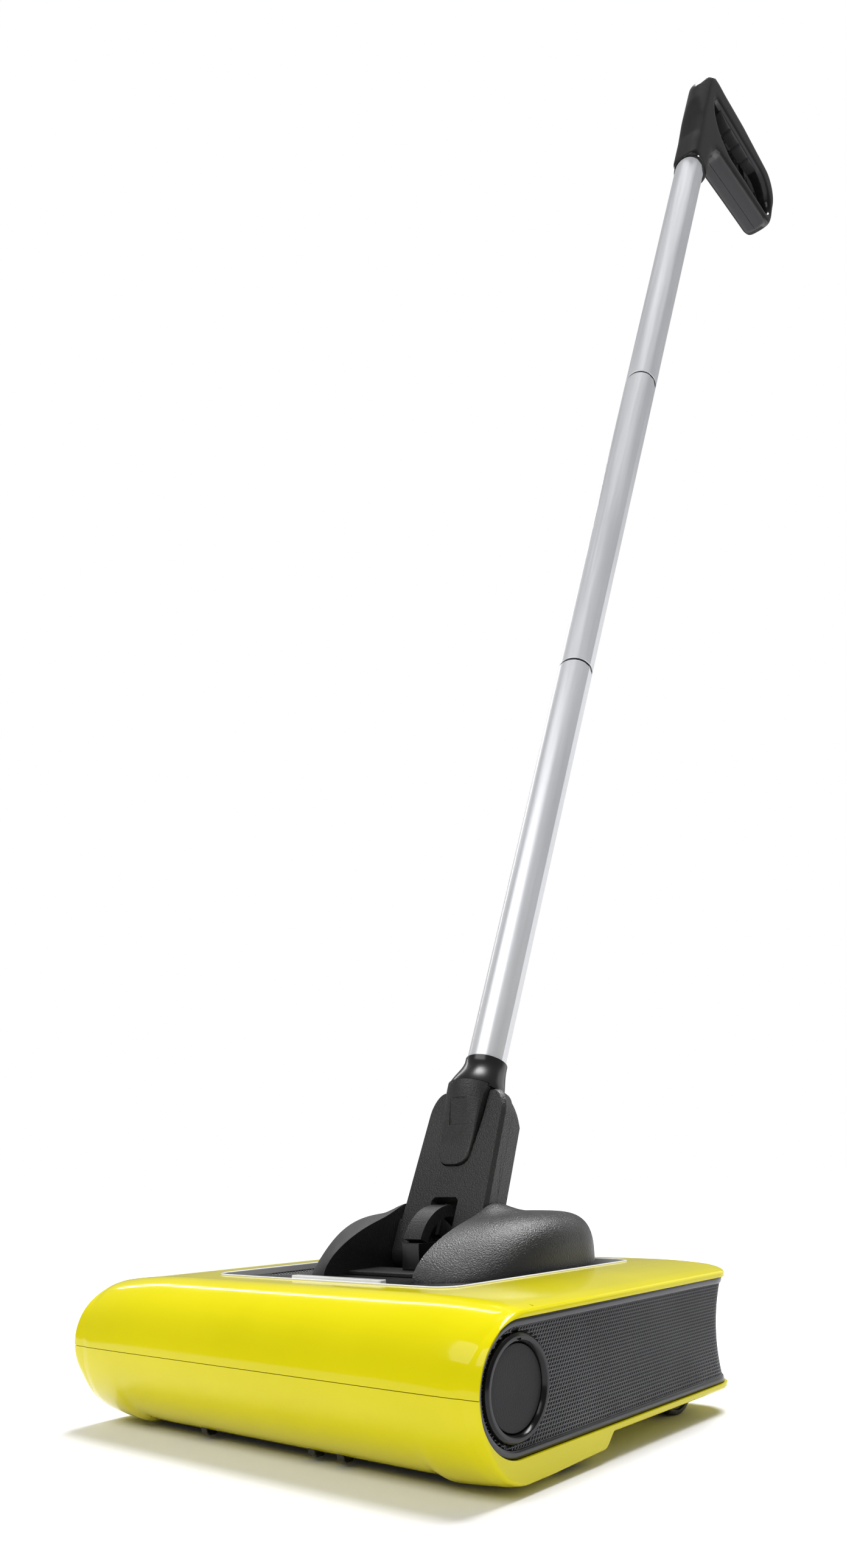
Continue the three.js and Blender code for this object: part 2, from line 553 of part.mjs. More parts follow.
const neckFront = cut(
  common(neckBody(), box(-NECK_ROOM, NECK_ROOM, -NECK_ROOM, -GAP / 2, -NECK_ROOM, TUBE.base)),
  alongY(tongueFace(GAP), -NECK.front - 5, -NECK.front + TONGUE.deep));
add(handle, 'neck_front', neckFront, GRAINED);
const neckRear = join(
  common(neckBody(), box(-NECK_ROOM, NECK_ROOM, GAP / 2, NECK_ROOM, -NECK_ROOM, TUBE.base)),
  alongY(neckFace(NECK.half - 0.4, NECK.half - 0.4, 15, NECK.shoulder)
    .map(([x, z]) => [x, Math.max(z, NECK.rearLow)]), 1, NECK.rear));
add(handle, 'neck_rear', neckRear, GRAINED);
const button = new THREE.Group();
handle.add(button);
add(button, 'tube_release', alongY(
  tongueFace(0), -NECK.front - TONGUE.proud, -NECK.front + TONGUE.deep - GAP - TONGUE.travel), GRAINED);

const tubeSection = (r) => {
  const right = [[63, 1], [87, 0.985], [124, 0.97], [158, 0.97]].map(([a, k]) => {
    const t = THREE.MathUtils.degToRad(a - 90);
    return [r * k * Math.cos(t), r * k * Math.sin(t)];
  });
  const front = arc(0, 0, r, -90 - 63, -90 + 63, 12);
  const left = right.slice(1).reverse().map(([x, y]) => [-x, y]);
  return [...front, ...right.slice(1), ...left];
};
const tube = (z0, z1) => cut(upZ(tubeSection(TUBE.r), z0, z1), rodZ(TUBE.bore, z0 - 1, z1 + 1, 0, 0, 20));

const COLLAR = { low: NECK.top + GAP, high: TUBE.base - GAP };
const collarProfile = [
  [0, COLLAR.low], [17.5, COLLAR.low], [17, COLLAR.low + 5], [13.6, COLLAR.low + 13], [12.8, COLLAR.high],
];
function lathe(points, sides) {
  const closed = [...points, [0, points[points.length - 1][1]]].map(([r, z]) => new THREE.Vector2(r, z));
  return solid(new THREE.LatheGeometry(closed, sides).rotateX(Math.PI / 2));
}
const spigot = (z0, z1) => rodZ(TUBE.bore - GAP, z0, z1, 0, 0, 20);
add(handle, 'tube_collar', cut(
  join(lathe(collarProfile, 28), spigot(COLLAR.high - 1, TUBE.base + 30)),
  alongY(tongueFace(GAP), -NECK.front - 10, -NECK.front + TONGUE.deep),
  rodZ(7, COLLAR.low + 8, TUBE.base + 40, 0, 0, 16)), SMOOTH);

let tubeEnd = TUBE.base;
const JOINT_RING = 1.2;
function tubeJoint(name, z) {
  add(handle, name, cut(
    join(rodZ(TUBE.r + 0.1, z, z + JOINT_RING, 0, 0, 28), spigot(z - 24, z + 24)),
    rodZ(7.6, z - 30, z + 30, 0, 0, 16)), SMOOTH);
}
const sections = [['tube_lower', TUBE.lower], ['tube_middle', TUBE.middle], ['tube_upper', TUBE.upper]];
sections.forEach(([name, length], i) => {
  add(handle, name, tube(tubeEnd, tubeEnd + length), SILVER);
  tubeEnd += length;
  if (i < 2) {
    tubeJoint(`tube_joint_${i + 1}`, tubeEnd + GAP);
    tubeEnd += JOINT_RING + 2 * GAP;
  }
});

// Side view of the hand grip in (rearward, upward). Its foot stands on the tubes, and its other heights
// count from G.
const GRIP_FOOT = tubeEnd + GAP;
const G = GRIP_FOOT + 9.6;
const gripOutline = [
  [-12.4, GRIP_FOOT], [12.4, GRIP_FOOT], [11.5, G + 14], [15, G + 30], [23, G + 38], [110, G + 80],
  [116, G + 87], [118, G + 97], [117, G + 108], ...arc(97, G + 113, 20, 0, 110, 6),
  [-1, G + 100.5], [-8, G + 95], [-12, G + 88], [-13.2, G + 78], [-12.6, G + 40],
];
const opening = [
  [2, G + 70], [8, G + 63], [18, G + 58.5], [34, G + 58.5], [103, G + 89.5], [108.5, G + 96], [107, G + 104],
  [101, G + 110], [92, G + 113], [84, G + 112], [8, G + 81], [1, G + 76],
];
// Plan of the grip: round at the front like the tube, with flat sides behind.
const gripPlan = [...arc(0, 0, 13.2, 180 + 33, 360 - 33, 10), [GRIP_HALF, 130], [-GRIP_HALF, 130]];
function gripHalf() {
  return cut(
    common(acrossX(gripOutline, GAP / 2, GRIP_HALF + 2), upZ(gripPlan, GRIP_FOOT - 1, G + 150)),
    acrossX(opening, -20, 20));
}
// The soft pad lines the underside of the upper bar.
const padSlope = 31 / 76;
const padFace = (y) => G + 81 + (y - 8) * padSlope;
const PAD = { from: 13, to: 80, thick: 4.5, half: 8 };
const padOutline = (grow) => {
  const below = 3 * Math.sign(grow);
  const [from, to] = [PAD.from - grow, PAD.to + grow];
  const above = PAD.thick + grow;
  return [
    [from, padFace(from) - below], [to, padFace(to) - below],
    [to, padFace(to) + above], [from, padFace(from) + above],
  ];
};
const gripRight = cut(gripHalf(), acrossX(padOutline(GAP), -PAD.half - GAP, PAD.half + GAP));
add(handle, 'grip_right', gripRight, SMOOTH);
add(handle, 'grip_left', mirrorX(gripRight), SMOOTH);
add(handle, 'grip_pad', acrossX(padOutline(0), -PAD.half, PAD.half), RUBBER);
add(handle, 'grip_plug', cut(
  spigot(GRIP_FOOT - 26, GRIP_FOOT - GAP),
  rodZ(7, GRIP_FOOT - 30, GRIP_FOOT - 4, 0, 0, 16)), SMOOTH);

// ---------- screws through the underside ----------
SCREWS.forEach(([x, y], i) => {
  const head = rodZ(SCREW.head, PLATE_BOTTOM + 0.2, PLATE_BOTTOM + 1.2, x, y, 14);
  const shank = rodZ(SCREW.shank, PLATE_BOTTOM + 1, CHASSIS.low + CHASSIS.plate + 0.1, x, y, 10);
  add(sweeper, `shell_screw_${i + 1}`, join(head, shank), STEEL);
});

// ---------- origin at the bottom centre of the whole box ----------
sweeper.updateMatrixWorld(true);
const bounds = new THREE.Box3().setFromObject(sweeper);
const middle = bounds.getCenter(new THREE.Vector3());
sweeper.position.set(-middle.x, -middle.y, -bounds.min.z);

export default sweeper;
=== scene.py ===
"""Looks of the carpet sweeper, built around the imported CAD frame.

Lengths are millimetres in the head's own datum: X right, front -Y, Z up, with the origin in the middle
of the head. place() turns them into the frame's metres. The handle's pieces are made upright on the tilt
axis and leaned back by lean().
"""
import json
from math import acos, atan2, copysign, cos, dist, exp, hypot, pi, radians, sin, sqrt

import bmesh
import bpy
from mathutils import Matrix, Vector


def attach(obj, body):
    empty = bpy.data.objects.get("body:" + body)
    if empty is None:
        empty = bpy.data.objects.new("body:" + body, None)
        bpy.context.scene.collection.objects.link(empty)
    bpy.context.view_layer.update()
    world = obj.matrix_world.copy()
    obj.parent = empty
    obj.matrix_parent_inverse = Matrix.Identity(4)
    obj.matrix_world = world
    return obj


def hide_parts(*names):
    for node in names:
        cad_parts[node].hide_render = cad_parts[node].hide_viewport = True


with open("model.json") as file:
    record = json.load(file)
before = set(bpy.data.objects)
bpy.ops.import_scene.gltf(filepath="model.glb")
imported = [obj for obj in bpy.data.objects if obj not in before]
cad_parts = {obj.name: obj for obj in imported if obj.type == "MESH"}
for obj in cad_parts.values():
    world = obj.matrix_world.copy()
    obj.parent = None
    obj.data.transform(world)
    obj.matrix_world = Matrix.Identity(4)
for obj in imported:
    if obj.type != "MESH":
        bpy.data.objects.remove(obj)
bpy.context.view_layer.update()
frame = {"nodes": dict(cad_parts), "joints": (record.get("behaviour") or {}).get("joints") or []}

# ---------- datum ----------
MM = 0.001
PIVOT_Y, PIVOT_Z = 34, 80                 # the tilt axis in the head's datum
LEAN = radians(22.4)
tilt = next(j for j in frame["joints"] if j["name"] == "handle_tilt")
ORIGIN = Vector(tilt["pos_m"]) - Vector((0, PIVOT_Y, PIVOT_Z)) * MM
GROUND = -ORIGIN.z / MM                   # floor height in the datum


def place(p):
    return ORIGIN + Vector(p) * MM


def lean(p):
    """A point of the upright handle, measured from the tilt axis, where the leaned handle has it."""
    x, y, z = p
    c, s = cos(LEAN), sin(LEAN)
    return (x, PIVOT_Y + y * c + z * s, PIVOT_Z - y * s + z * c)


# ---------- driving sizes, as in the CAD model ----------
HALF, TOP, REAR = 133, 74.6, 119.5
NOSE_Y, NOSE_Z, NOSE_R, NOSE_DROP, SKID_DROP = -77.7, 39.8, 34.8, 40.1, 42.5
PLATE = 9
REAR_CORNER = 20
WINDOW_LOW, WINDOW_HIGH, WINDOW_Y = 12.4, 67.8, -83
WINDOW_MID = (WINDOW_LOW + WINDOW_HIGH) / 2
WINDOW_R = (WINDOW_HIGH - WINDOW_LOW) / 2
DECK_HALF, DECK_FRONT, DECK_BACK, DECK_CORNER, DECK_TOP = 80.3, -62.5, 104, 12, 72
CAP_Y, CAP_Z, CAP_R = -83.5, 40.2, 22
BRUSH_Y, BRUSH_Z, BRUSH_TIP, BRUSH_CORE, BRUSH_HALF = -68, 24.4, 26.6, 13, 98
SLOT_HALF = 30.4
GAP = 0.3
PIN_BORE = 4.3                            # hole for the pin on the tilt axis


def link(name, data):
    obj = bpy.data.objects.new(name, data)
    bpy.context.scene.collection.objects.link(obj)
    return obj


# ---------- camera ----------
CAMERA_SPOT = (386.7, -443.9, 126.3)
CAMERA_TURN = (39.16, 1.34, -1.36)        # yaw, pitch and roll in degrees
SENSOR, LENS = 36, 25.54                  # for the tall frame's long side
SHIFT_X, SHIFT_Y = -0.0088, 0.2306


def make_camera():
    data = bpy.data.cameras.new("camera")
    cam = link("camera", data)
    bpy.context.scene.camera = cam
    yaw, pitch, roll = (radians(a) for a in CAMERA_TURN)
    forward = Vector((-sin(yaw) * cos(pitch), cos(yaw) * cos(pitch), sin(pitch)))
    right = Vector((cos(yaw), sin(yaw), 0))
    up = right.cross(forward)
    right_rolled = right * cos(roll) + up * sin(roll)
    up_rolled = up * cos(roll) - right * sin(roll)
    turn = Matrix((right_rolled, up_rolled, -forward)).transposed().to_4x4()
    cam.matrix_world = Matrix.Translation(place(CAMERA_SPOT)) @ turn
    data.sensor_width, data.lens = SENSOR, LENS
    data.shift_x, data.shift_y = SHIFT_X, SHIFT_Y


make_camera()


# ---------- materials ----------
def new_material(name):
    mat = bpy.data.materials.new(name)
    mat.use_nodes = True
    return mat, mat.node_tree, mat.node_tree.nodes["Principled BSDF"]


def add_node(tree, kind, **values):
    """A node with numbers on its sockets. An underscore stands for a space in a socket's name."""
    node = tree.nodes.new(kind)
    for socket, value in values.items():
        node.inputs[socket.replace("_", " ")].default_value = value
    return node


def add_noise(tree, scale, detail, stretch=(1, 1, 1)):
    """A noise over the object. Its pattern is drawn out where stretch is small."""
    source = tree.nodes.new("ShaderNodeTexCoord").outputs["Object"]
    if stretch != (1, 1, 1):
        mapping = add_node(tree, "ShaderNodeMapping", Scale=stretch)
        tree.links.new(source, mapping.inputs["Vector"])
        source = mapping.outputs["Vector"]
    noise = add_node(tree, "ShaderNodeTexNoise", Scale=scale, Detail=detail)
    tree.links.new(source, noise.inputs["Vector"])
    return noise.outputs["Fac"]


def vary_roughness(tree, shader, source, low, high):
    ranged = add_node(tree, "ShaderNodeMapRange", From_Min=0.35, From_Max=0.65, To_Min=low, To_Max=high)
    tree.links.new(source, ranged.inputs["Value"])
    tree.links.new(ranged.outputs["Result"], shader.inputs["Roughness"])


def tint(tree, shader, source, dark, light):
    """Mixes two base colours by a noise. A single number is a grey."""
    ramp = tree.nodes.new("ShaderNodeValToRGB")
    for element, position, colour in zip(ramp.color_ramp.elements, (0.3, 0.7), (dark, light)):
        element.position = position
        element.color = (*colour, 1) if isinstance(colour, tuple) else (colour, colour, colour, 1)
    tree.links.new(source, ramp.inputs["Fac"])
    tree.links.new(ramp.outputs["Color"], shader.inputs["Base Color"])


def emboss(tree, shader, source, strength, distance_mm):
    bump = add_node(tree, "ShaderNodeBump", Strength=strength, Distance=distance_mm * MM)
    tree.links.new(source, bump.inputs["Height"])
    tree.links.new(bump.outputs["Normal"], shader.inputs["Normal"])


DRIFT_SCALE, COAT_ROUGHNESS, COAT_IOR = 25, 0.03, 1.4
SCRATCH_SCALE, SCRATCH_MM = 400, 0.02


def plastic(name, dark, light, rough, grain_scale, grain_mm, strength, coat=0.0, specular=0.5):
    """Moulded plastic: a little colour drift, uneven gloss and a fine grain."""
    mat, tree, shader = new_material(name)
    drift = add_noise(tree, DRIFT_SCALE, 2)
    tint(tree, shader, drift, dark, light)
    vary_roughness(tree, shader, drift, *rough)
    emboss(tree, shader, add_noise(tree, grain_scale, 3), strength, grain_mm)
    shader.inputs["Specular IOR Level"].default_value = specular
    if coat:
        shader.inputs["Coat Weight"].default_value = coat
        shader.inputs["Coat Roughness"].default_value = COAT_ROUGHNESS
        shader.inputs["Coat IOR"].default_value = COAT_IOR
    return mat


def metal(name, dark, light, rough, stretch, strength, metallic=1.0):
    """Drawn or turned metal with fine scratches along one direction."""
    mat, tree, shader = new_material(name)
    shader.inputs["Metallic"].default_value = metallic
    lines = add_noise(tree, SCRATCH_SCALE, 4, stretch)
    tint(tree, shader, lines, dark, light)
    vary_roughness(tree, shader, lines, *rough)
    emboss(tree, shader, lines, strength, SCRATCH_MM)
    return mat


YELLOW = plastic("yellow_gloss", (0.67, 0.597, 0.001), (0.70, 0.622, 0.002), (0.10, 0.14), 90, 0.02, 0.03,
                 coat=0.4, specular=0.08)
GRAINED = plastic("grained_black", 0.016, 0.024, (0.30, 0.38), 1300, 0.4, 0.9)
CAP_FACE = plastic("cap_face", 0.006, 0.009, (0.40, 0.48), 1300, 0.2, 0.6, specular=0.2)
SMOOTH = plastic("satin_black", 0.008, 0.012, (0.22, 0.30), 700, 0.02, 0.2)
GLOSSY = plastic("gloss_black", 0.006, 0.009, (0.18, 0.26), 300, 0.01, 0.1, coat=0.1, specular=0.25)
WIRE = plastic("mesh_grey", (0.12, 0.122, 0.124), (0.17, 0.172, 0.175), (0.30, 0.4), 900, 0.03, 0.3)
BACKING = plastic("mesh_backing", 0.004, 0.007, (0.6, 0.7), 900, 0.03, 0.3)
# Near-white: the badge's own print colour, and on the deck's rim a painted highlight for the light that its edge
# catches.
BADGE_WHITE_AND_RIM_HIGHLIGHT = plastic("badge_white_and_painted_rim_highlight", 0.78, 0.85, (0.15, 0.2), 300, 0.01, 0.1, coat=0.5)
RUBBER = plastic("soft_rubber", 0.010, 0.016, (0.45, 0.6), 1200, 0.05, 0.4)
BRISTLE = plastic("nylon_bristle", (0.012, 0.012, 0.013), (0.03, 0.03, 0.032), (0.4, 0.6), 2000, 0.05, 0.4)
TANK = plastic("smoked_tank", (0.06, 0.062, 0.066), (0.08, 0.083, 0.088), (0.15, 0.25), 500, 0.02, 0.2)
WRAP = plastic("battery_wrap", (0.05, 0.1, 0.22), (0.07, 0.13, 0.27), (0.25, 0.35), 200, 0.05, 0.3)
BOARD = plastic("circuit_board", (0.01, 0.09, 0.03), (0.02, 0.13, 0.05), (0.2, 0.4), 400, 0.05, 0.5)
TUBE = metal("satin_tube", (0.70, 0.71, 0.73), (0.77, 0.78, 0.80), (0.30, 0.38), (1, 0.05, 0.02), 0.1,
             metallic=0.45)
STEEL = metal("turned_steel", (0.45, 0.45, 0.46), (0.6, 0.6, 0.61), (0.2, 0.35), (0.05, 1, 1), 0.2)


# ---------- mesh helpers ----------
def to_object(name, bm, mat):
    mesh = bpy.data.meshes.new(name)
    bmesh.ops.recalc_face_normals(bm, faces=bm.faces)
    bm.to_mesh(mesh)
    bm.free()
    for polygon in mesh.polygons:
        polygon.use_smooth = True
    mesh.materials.append(mat)
    return link(name, mesh)


def from_lists(name, points, faces, mat, move=place):
    bm = bmesh.new()
    verts = [bm.verts.new(move(p)) for p in points]
    for face in faces:
        loop = [verts[i] for i in face]
        if len(set(loop)) > 2:
            bm.faces.new(loop)
    bmesh.ops.remove_doubles(bm, verts=bm.verts, dist=2e-6)
    return to_object(name, bm, mat)


def sheet_faces(rows, cols, first=0, wrap=False):
    """Quads of a grid of points stored row by row."""
    faces = []
    for r in range(rows - 1):
        for c in range(cols if wrap else cols - 1):
            a = first + r * cols + c
            b = first + r * cols + (c + 1) % cols
            faces.append((a, b, b + cols, a + cols))
    return faces


def upright(p):
    return place(lean(p))


def loft(name, rings, mat, move=place):
    """Closed rings of equal length joined into a solid with flat ends."""
    count = len(rings[0])
    points = [p for ring in rings for p in ring]
    faces = sheet_faces(len(rings), count, wrap=True)
    faces.append(tuple(range(count - 1, -1, -1)))
    faces.append(tuple(range(len(points) - count, len(points))))
    return from_lists(name, points, faces, mat, move)


# The point that a flat outline's two numbers and a length along an axis give.
ALONG = {"X": lambda a, b, t: (t, a, b), "Y": lambda a, b, t: (a, t, b), "Z": lambda a, b, t: (a, b, t)}


def prism(name, outline, axis, low, high, mat, move=place):
    """A flat outline carried along X (outline in y, z), Y (outline in x, z) or Z (outline in x, y)."""
    return loft(name, [[ALONG[axis](a, b, t) for a, b in outline] for t in (low, high)], mat, move)


def layered(name, outline, axis, layers, mat):
    """A solid of the handle through copies of an outline along an axis, each moved in by its own inset."""
    rings = [[ALONG[axis](a, b, t) for a, b in inset_outline(outline, inset)] for t, inset in layers]
    return loft(name, rings, mat, upright)


def rect(a0, a1, b0, b1):
    return [(a0, b0), (a1, b0), (a1, b1), (a0, b1)]


def arc(cy, cz, r, start, end, steps=12):
    angles = [radians(start + (end - start) * i / steps) for i in range(steps + 1)]
    return [(cy + r * cos(a), cz + r * sin(a)) for a in angles]


def rounded_rect(x0, x1, y0, y1, r, steps=10):
    return (arc(x1 - r, y1 - r, r, 0, 90, steps) + arc(x0 + r, y1 - r, r, 90, 180, steps)
            + arc(x0 + r, y0 + r, r, 180, 270, steps) + arc(x1 - r, y0 + r, r, 270, 360, steps))


def turned(name, profile, centre, mat, sides=64, axis="X", move=place):
    """A profile of (distance along the axis, radius) turned round an axis through centre."""
    turns = [2 * pi * i / sides for i in range(sides)]
    points = [ALONG[axis](centre[0] + r * cos(a), centre[1] + r * sin(a), t)
              for t, r in profile for a in turns]
    faces = sheet_faces(len(profile), sides, wrap=True)
    if profile[0] != profile[-1]:
        faces += [tuple(range(sides)), tuple(range(len(points) - sides, len(points)))]
    return from_lists(name, points, faces, mat, move)


def sleeve_profile(low, high, inner, outer):
    return [(low, inner), (low, outer), (high, outer), (high, inner), (low, inner)]


def modifier(obj, kind, **values):
    mod = obj.modifiers.new(kind.lower(), kind)
    for key, value in values.items():
        setattr(mod, key, value)
    return mod


def settle(obj):
    """Applies all of an object's modifiers."""
    graph = bpy.context.evaluated_depsgraph_get()
    mesh = bpy.data.meshes.new_from_object(obj.evaluated_get(graph))
    obj.modifiers.clear()
    obj.data = mesh
    return obj


def combine(obj, others, operation):
    """Cuts, joins or intersects with other objects, which are used up."""
    for other in others:
        modifier(obj, "BOOLEAN", object=other, operation=operation, solver="EXACT")
    settle(obj)
    for other in others:
        bpy.data.objects.remove(other)
    return obj


def cut(obj, *others):
    return combine(obj, others, "DIFFERENCE")


def soften(obj, width, segments=3, angle=32):
    """Rounds the sharp edges and evens out the shading."""
    modifier(obj, "BEVEL", width=width * MM, segments=segments, limit_method="ANGLE",
             angle_limit=radians(angle), harden_normals=True)
    modifier(obj, "WEIGHTED_NORMAL", keep_sharp=True)
    return obj


def finish_piece(obj, body, slot, *nodes):
    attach(obj, body)
    if nodes:
        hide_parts(*nodes)
    return obj


def join_pieces(name, objects):
    """Several meshes as one object. Each keeps its own material."""
    bpy.ops.object.select_all(action="DESELECT")
    for obj in objects:
        obj.select_set(True)
    bpy.context.view_layer.objects.active = objects[0]
    bpy.ops.object.join()
    objects[0].name = name
    return objects[0]


# ---------- head shells ----------
# A shell is a panel over the nose, a rim that runs round the end faces and the rear, and a plate between.
RIM_STEPS = 8
RIM_X, RIM_IN = 2.4, 2.2                  # how far the rim's rounding reaches along X and inwards
CROWN_FROM, CROWN_FALL, CROWN_POWER = 80, 3.6, 2.2
SKIN_THICK = 1.9
QUARTER = NOSE_R * pi / 2            # profile length from the parting line to the flat top
SIDE_STEPS, CORNER_STEPS, REAR_STEPS = 40, 16, 60
PLATE_ROWS = 14
WHEEL_WELLS = ((108, 84, 19.5, 9), (118, -38, 11.5, 9))     # x, y, radius, half width
SCREWS = ((96, -6), (-96, -6), (70, 92), (-70, 92))


def smooth_step(value, low, high):
    t = min(1, max(0, (value - low) / (high - low)))
    return t * t * (3 - 2 * t)


def skid_share(x):
    """0 over the middle of the nose and 1 at its ends, which reach lower."""
    return smooth_step(abs(x), 95, 103)


def crown_share(x):
    """0 over the middle of the head, growing to 1 at its ends."""
    return min(1, max(0, (abs(x) - CROWN_FROM) / (HALF - CROWN_FROM))) ** CROWN_POWER


def profile(b, x):
    """A point and the outward normal of the head's side profile. b is 0 on the nose's parting line, grows
    up over the nose and back along the top, and falls below 0 down under the nose."""
    if b > QUARTER:
        return (NOSE_Y + b - QUARTER, TOP), (0, 1)
    angle = pi - b / NOSE_R
    drop = NOSE_R
    if b < 0:
        drop = NOSE_DROP + (SKID_DROP - NOSE_DROP) * skid_share(x)
    y, z = NOSE_Y + NOSE_R * cos(angle), NOSE_Z + drop * sin(angle)
    ny, nz = cos(angle) / NOSE_R, sin(angle) / drop
    size = hypot(ny, nz)
    return (y, z), (ny / size, nz / size)


def crown(b, x):
    """How far the surface has fallen below the profile at x."""
    _, (_, nz) = profile(b, x)
    return (1.1 + (CROWN_FALL - 1.1) * abs(nz)) * crown_share(x)


def skin(x, b):
    (y, z), (ny, nz) = profile(b, x)
    fall = crown(b, x)
    return (x, y - ny * fall, z - nz * fall)


def window_depth(point, normal):
    """Distance from the side profile inwards to the edge of the end window, a slot with a round front."""
    (y, z), (ny, nz) = point, normal
    depth = 0
    for _ in range(60):
        ahead, above = y - ny * depth - WINDOW_Y, z - nz * depth - WINDOW_MID
        depth += hypot(min(ahead, 0), above) - WINDOW_R
    return depth


def rim_column(base, outward, inward, fall, round_x, round_in, depth):
    """Points from the face over the rounded edge and down the end strip to the window."""
    column = []
    for i in range(RIM_STEPS + 1):
        a = pi / 2 * i / RIM_STEPS
        back = round_x * (1 - sin(a))
        down = fall + round_in * (1 - cos(a))
        column.append(tuple(base[k] - outward[k] * back + inward[k] * down for k in range(3)))
    for share in (0.5, 1):
        down = fall + round_in + (depth - fall - round_in) * share
        column.append(tuple(base[k] + inward[k] * down for k in range(3)))
    return column


def nose_rim(b, side):
    """The rim's column at profile length b on the right (1) or left (-1) end."""
    (y, z), (ny, nz) = profile(b, HALF)
    depth = window_depth((y, z), (ny, nz))
    fall = min(crown(b, HALF), depth - 0.6)
    round_x = RIM_X + 7 * (1 - abs(nz))
    round_in = max(0.4, min(RIM_IN, depth - fall - 0.1))
    return rim_column((side * HALF, y, z), (side, 0, 0), (0, -ny, -nz), fall, round_x, round_in, depth)


def rear_path(front):
    """The head's plan edge from the right end round the rear to the left end, with outward directions."""
    r = REAR_CORNER
    start = [((HALF, front + (REAR - r - front) * i / SIDE_STEPS), (1, 0)) for i in range(SIDE_STEPS)]
    corner = [((HALF - r + r * cos(a), REAR - r + r * sin(a)), (cos(a), sin(a)))
              for a in (pi / 2 * i / CORNER_STEPS for i in range(CORNER_STEPS + 1))]
    across = [((HALF - r - 2 * (HALF - r) * i / REAR_STEPS, REAR), (0, 1)) for i in range(1, REAR_STEPS)]
    mirrored = [((-x, y), (-ox, oy)) for (x, y), (ox, oy) in reversed(start + corner)]
    return start + corner + across + mirrored


def grid(rows, mat, name):
    points = [p for row in rows for p in row]
    return from_lists(name, points, sheet_faces(len(rows), len(rows[0])), mat)


def resample(line, count):
    """Evenly spaced points along an open line, both ends kept."""
    steps = [dist(a, b) for a, b in zip(line, line[1:])]
    total, out, i, gone = sum(steps), [], 0, 0.0
    for k in range(count):
        want = total * k / (count - 1)
        while i < len(steps) - 1 and gone + steps[i] < want:
            gone += steps[i]
            i += 1
        t = (want - gone) / steps[i] if steps[i] else 0
        out.append(tuple(a + (b - a) * t for a, b in zip(line[i], line[i + 1])))
    return out


PANEL_END = -70                            # y where the nose panel meets the top plate
PANEL_COLUMNS = 96


def nose_panel(b_low, b_high, rows, name):
    """The nose from one end window to the other, between two profile lengths."""
    lines = []
    for i in range(rows + 1):
        b = b_low + (b_high - b_low) * i / rows
        left, right = nose_rim(b, -1), nose_rim(b, 1)
        inner = right[0][0]
        middle = [skin(-inner + 2 * inner * k / PANEL_COLUMNS, b) for k in range(1, PANEL_COLUMNS)]
        lines.append(left[::-1] + middle + right)
    return grid(lines, YELLOW, name)


def deck_edges():
    """The deck's outline as four lines: right side, rear, left side and nose."""
    edge = rounded_rect(-DECK_HALF, DECK_HALF, DECK_FRONT, DECK_BACK, DECK_CORNER, 16)
    front_mid = edge.index(min(edge, key=lambda p: (round(p[1], 3), abs(p[0]))))
    loop = edge[front_mid:] + edge[:front_mid]
    inset = 3.5                            # of a corner's middle from the sides that meet there
    corners = [min(range(len(loop)), key=lambda i: abs(loop[i][0] - sx * (DECK_HALF - inset))
                   + abs(loop[i][1] - y))
               for sx, y in ((1, DECK_FRONT + inset), (1, DECK_BACK - inset), (-1, DECK_BACK - inset),
                             (-1, DECK_FRONT + inset))]
    return [loop[i:j + 1] if i <= j else loop[i:] + loop[:j + 1]
            for i, j in zip(corners, corners[1:] + corners[:1])]


def upper_shell():
    b_end = QUARTER + PANEL_END - NOSE_Y
    nose = nose_panel(0.15, b_end, 44, "upper_nose")
    rims = [rim_column((x, y, TOP), (ox, oy, 0), (0, 0, -1), CROWN_FALL * crown_share(x), RIM_X, RIM_IN,
                       TOP - WINDOW_HIGH) for (x, y), (ox, oy) in rear_path(PANEL_END)]
    rim = grid(rims, YELLOW, "upper_rim")
    # The plate is a ring of columns from the deck's edge out to the rim, and forward to the nose panel.
    outer_line = [r[0] for r in rims]
    # The rear corners' middles divide the rim's line into right side, rear and left side.
    right_end = SIDE_STEPS + CORNER_STEPS // 2
    left_start = len(rims) - 1 - right_end
    inner_x = rims[0][0][0]
    front_line = [skin(-inner_x + 2 * inner_x * k / PANEL_COLUMNS, b_end) for k in range(PANEL_COLUMNS + 1)]
    outers = (outer_line[:right_end + 1], outer_line[right_end:left_start + 1], outer_line[left_start:],
              front_line)
    plates = []
    for n, (outer, inner) in enumerate(zip(outers, deck_edges())):
        rows = []
        for k in range(PLATE_ROWS + 1):
            row = []
            for (ox, oy, oz), (ix, iy) in zip(outer, resample(inner, len(outer))):
                x, y = ix + (ox - ix) * k / PLATE_ROWS, iy + (oy - iy) * k / PLATE_ROWS
                row.append((x, y, oz if k == PLATE_ROWS else TOP - CROWN_FALL * crown_share(x)))
            rows.append(row)
        plates.append(grid(rows, YELLOW, f"plate_{n}"))
    shell = join_pieces("upper_shell_skin", [nose, rim, *plates])
    return close_shell(shell, "shell_upper")


def close_shell(shell, name):
    """Merges the patches and gives them thickness inwards."""
    bm = bmesh.new()
    bm.from_mesh(shell.data)
    bmesh.ops.remove_doubles(bm, verts=bm.verts, dist=5e-5)
    bmesh.ops.recalc_face_normals(bm, faces=bm.faces)
    top = max(bm.faces, key=lambda f: f.calc_center_median().z)
    if top.normal.z < 0:
        bmesh.ops.reverse_faces(bm, faces=bm.faces)
    bm.to_mesh(shell.data)
    bm.free()
    shell.name = name
    modifier(shell, "SOLIDIFY", thickness=SKIN_THICK * MM, offset=-1, use_even_offset=False)
    return settle(shell)


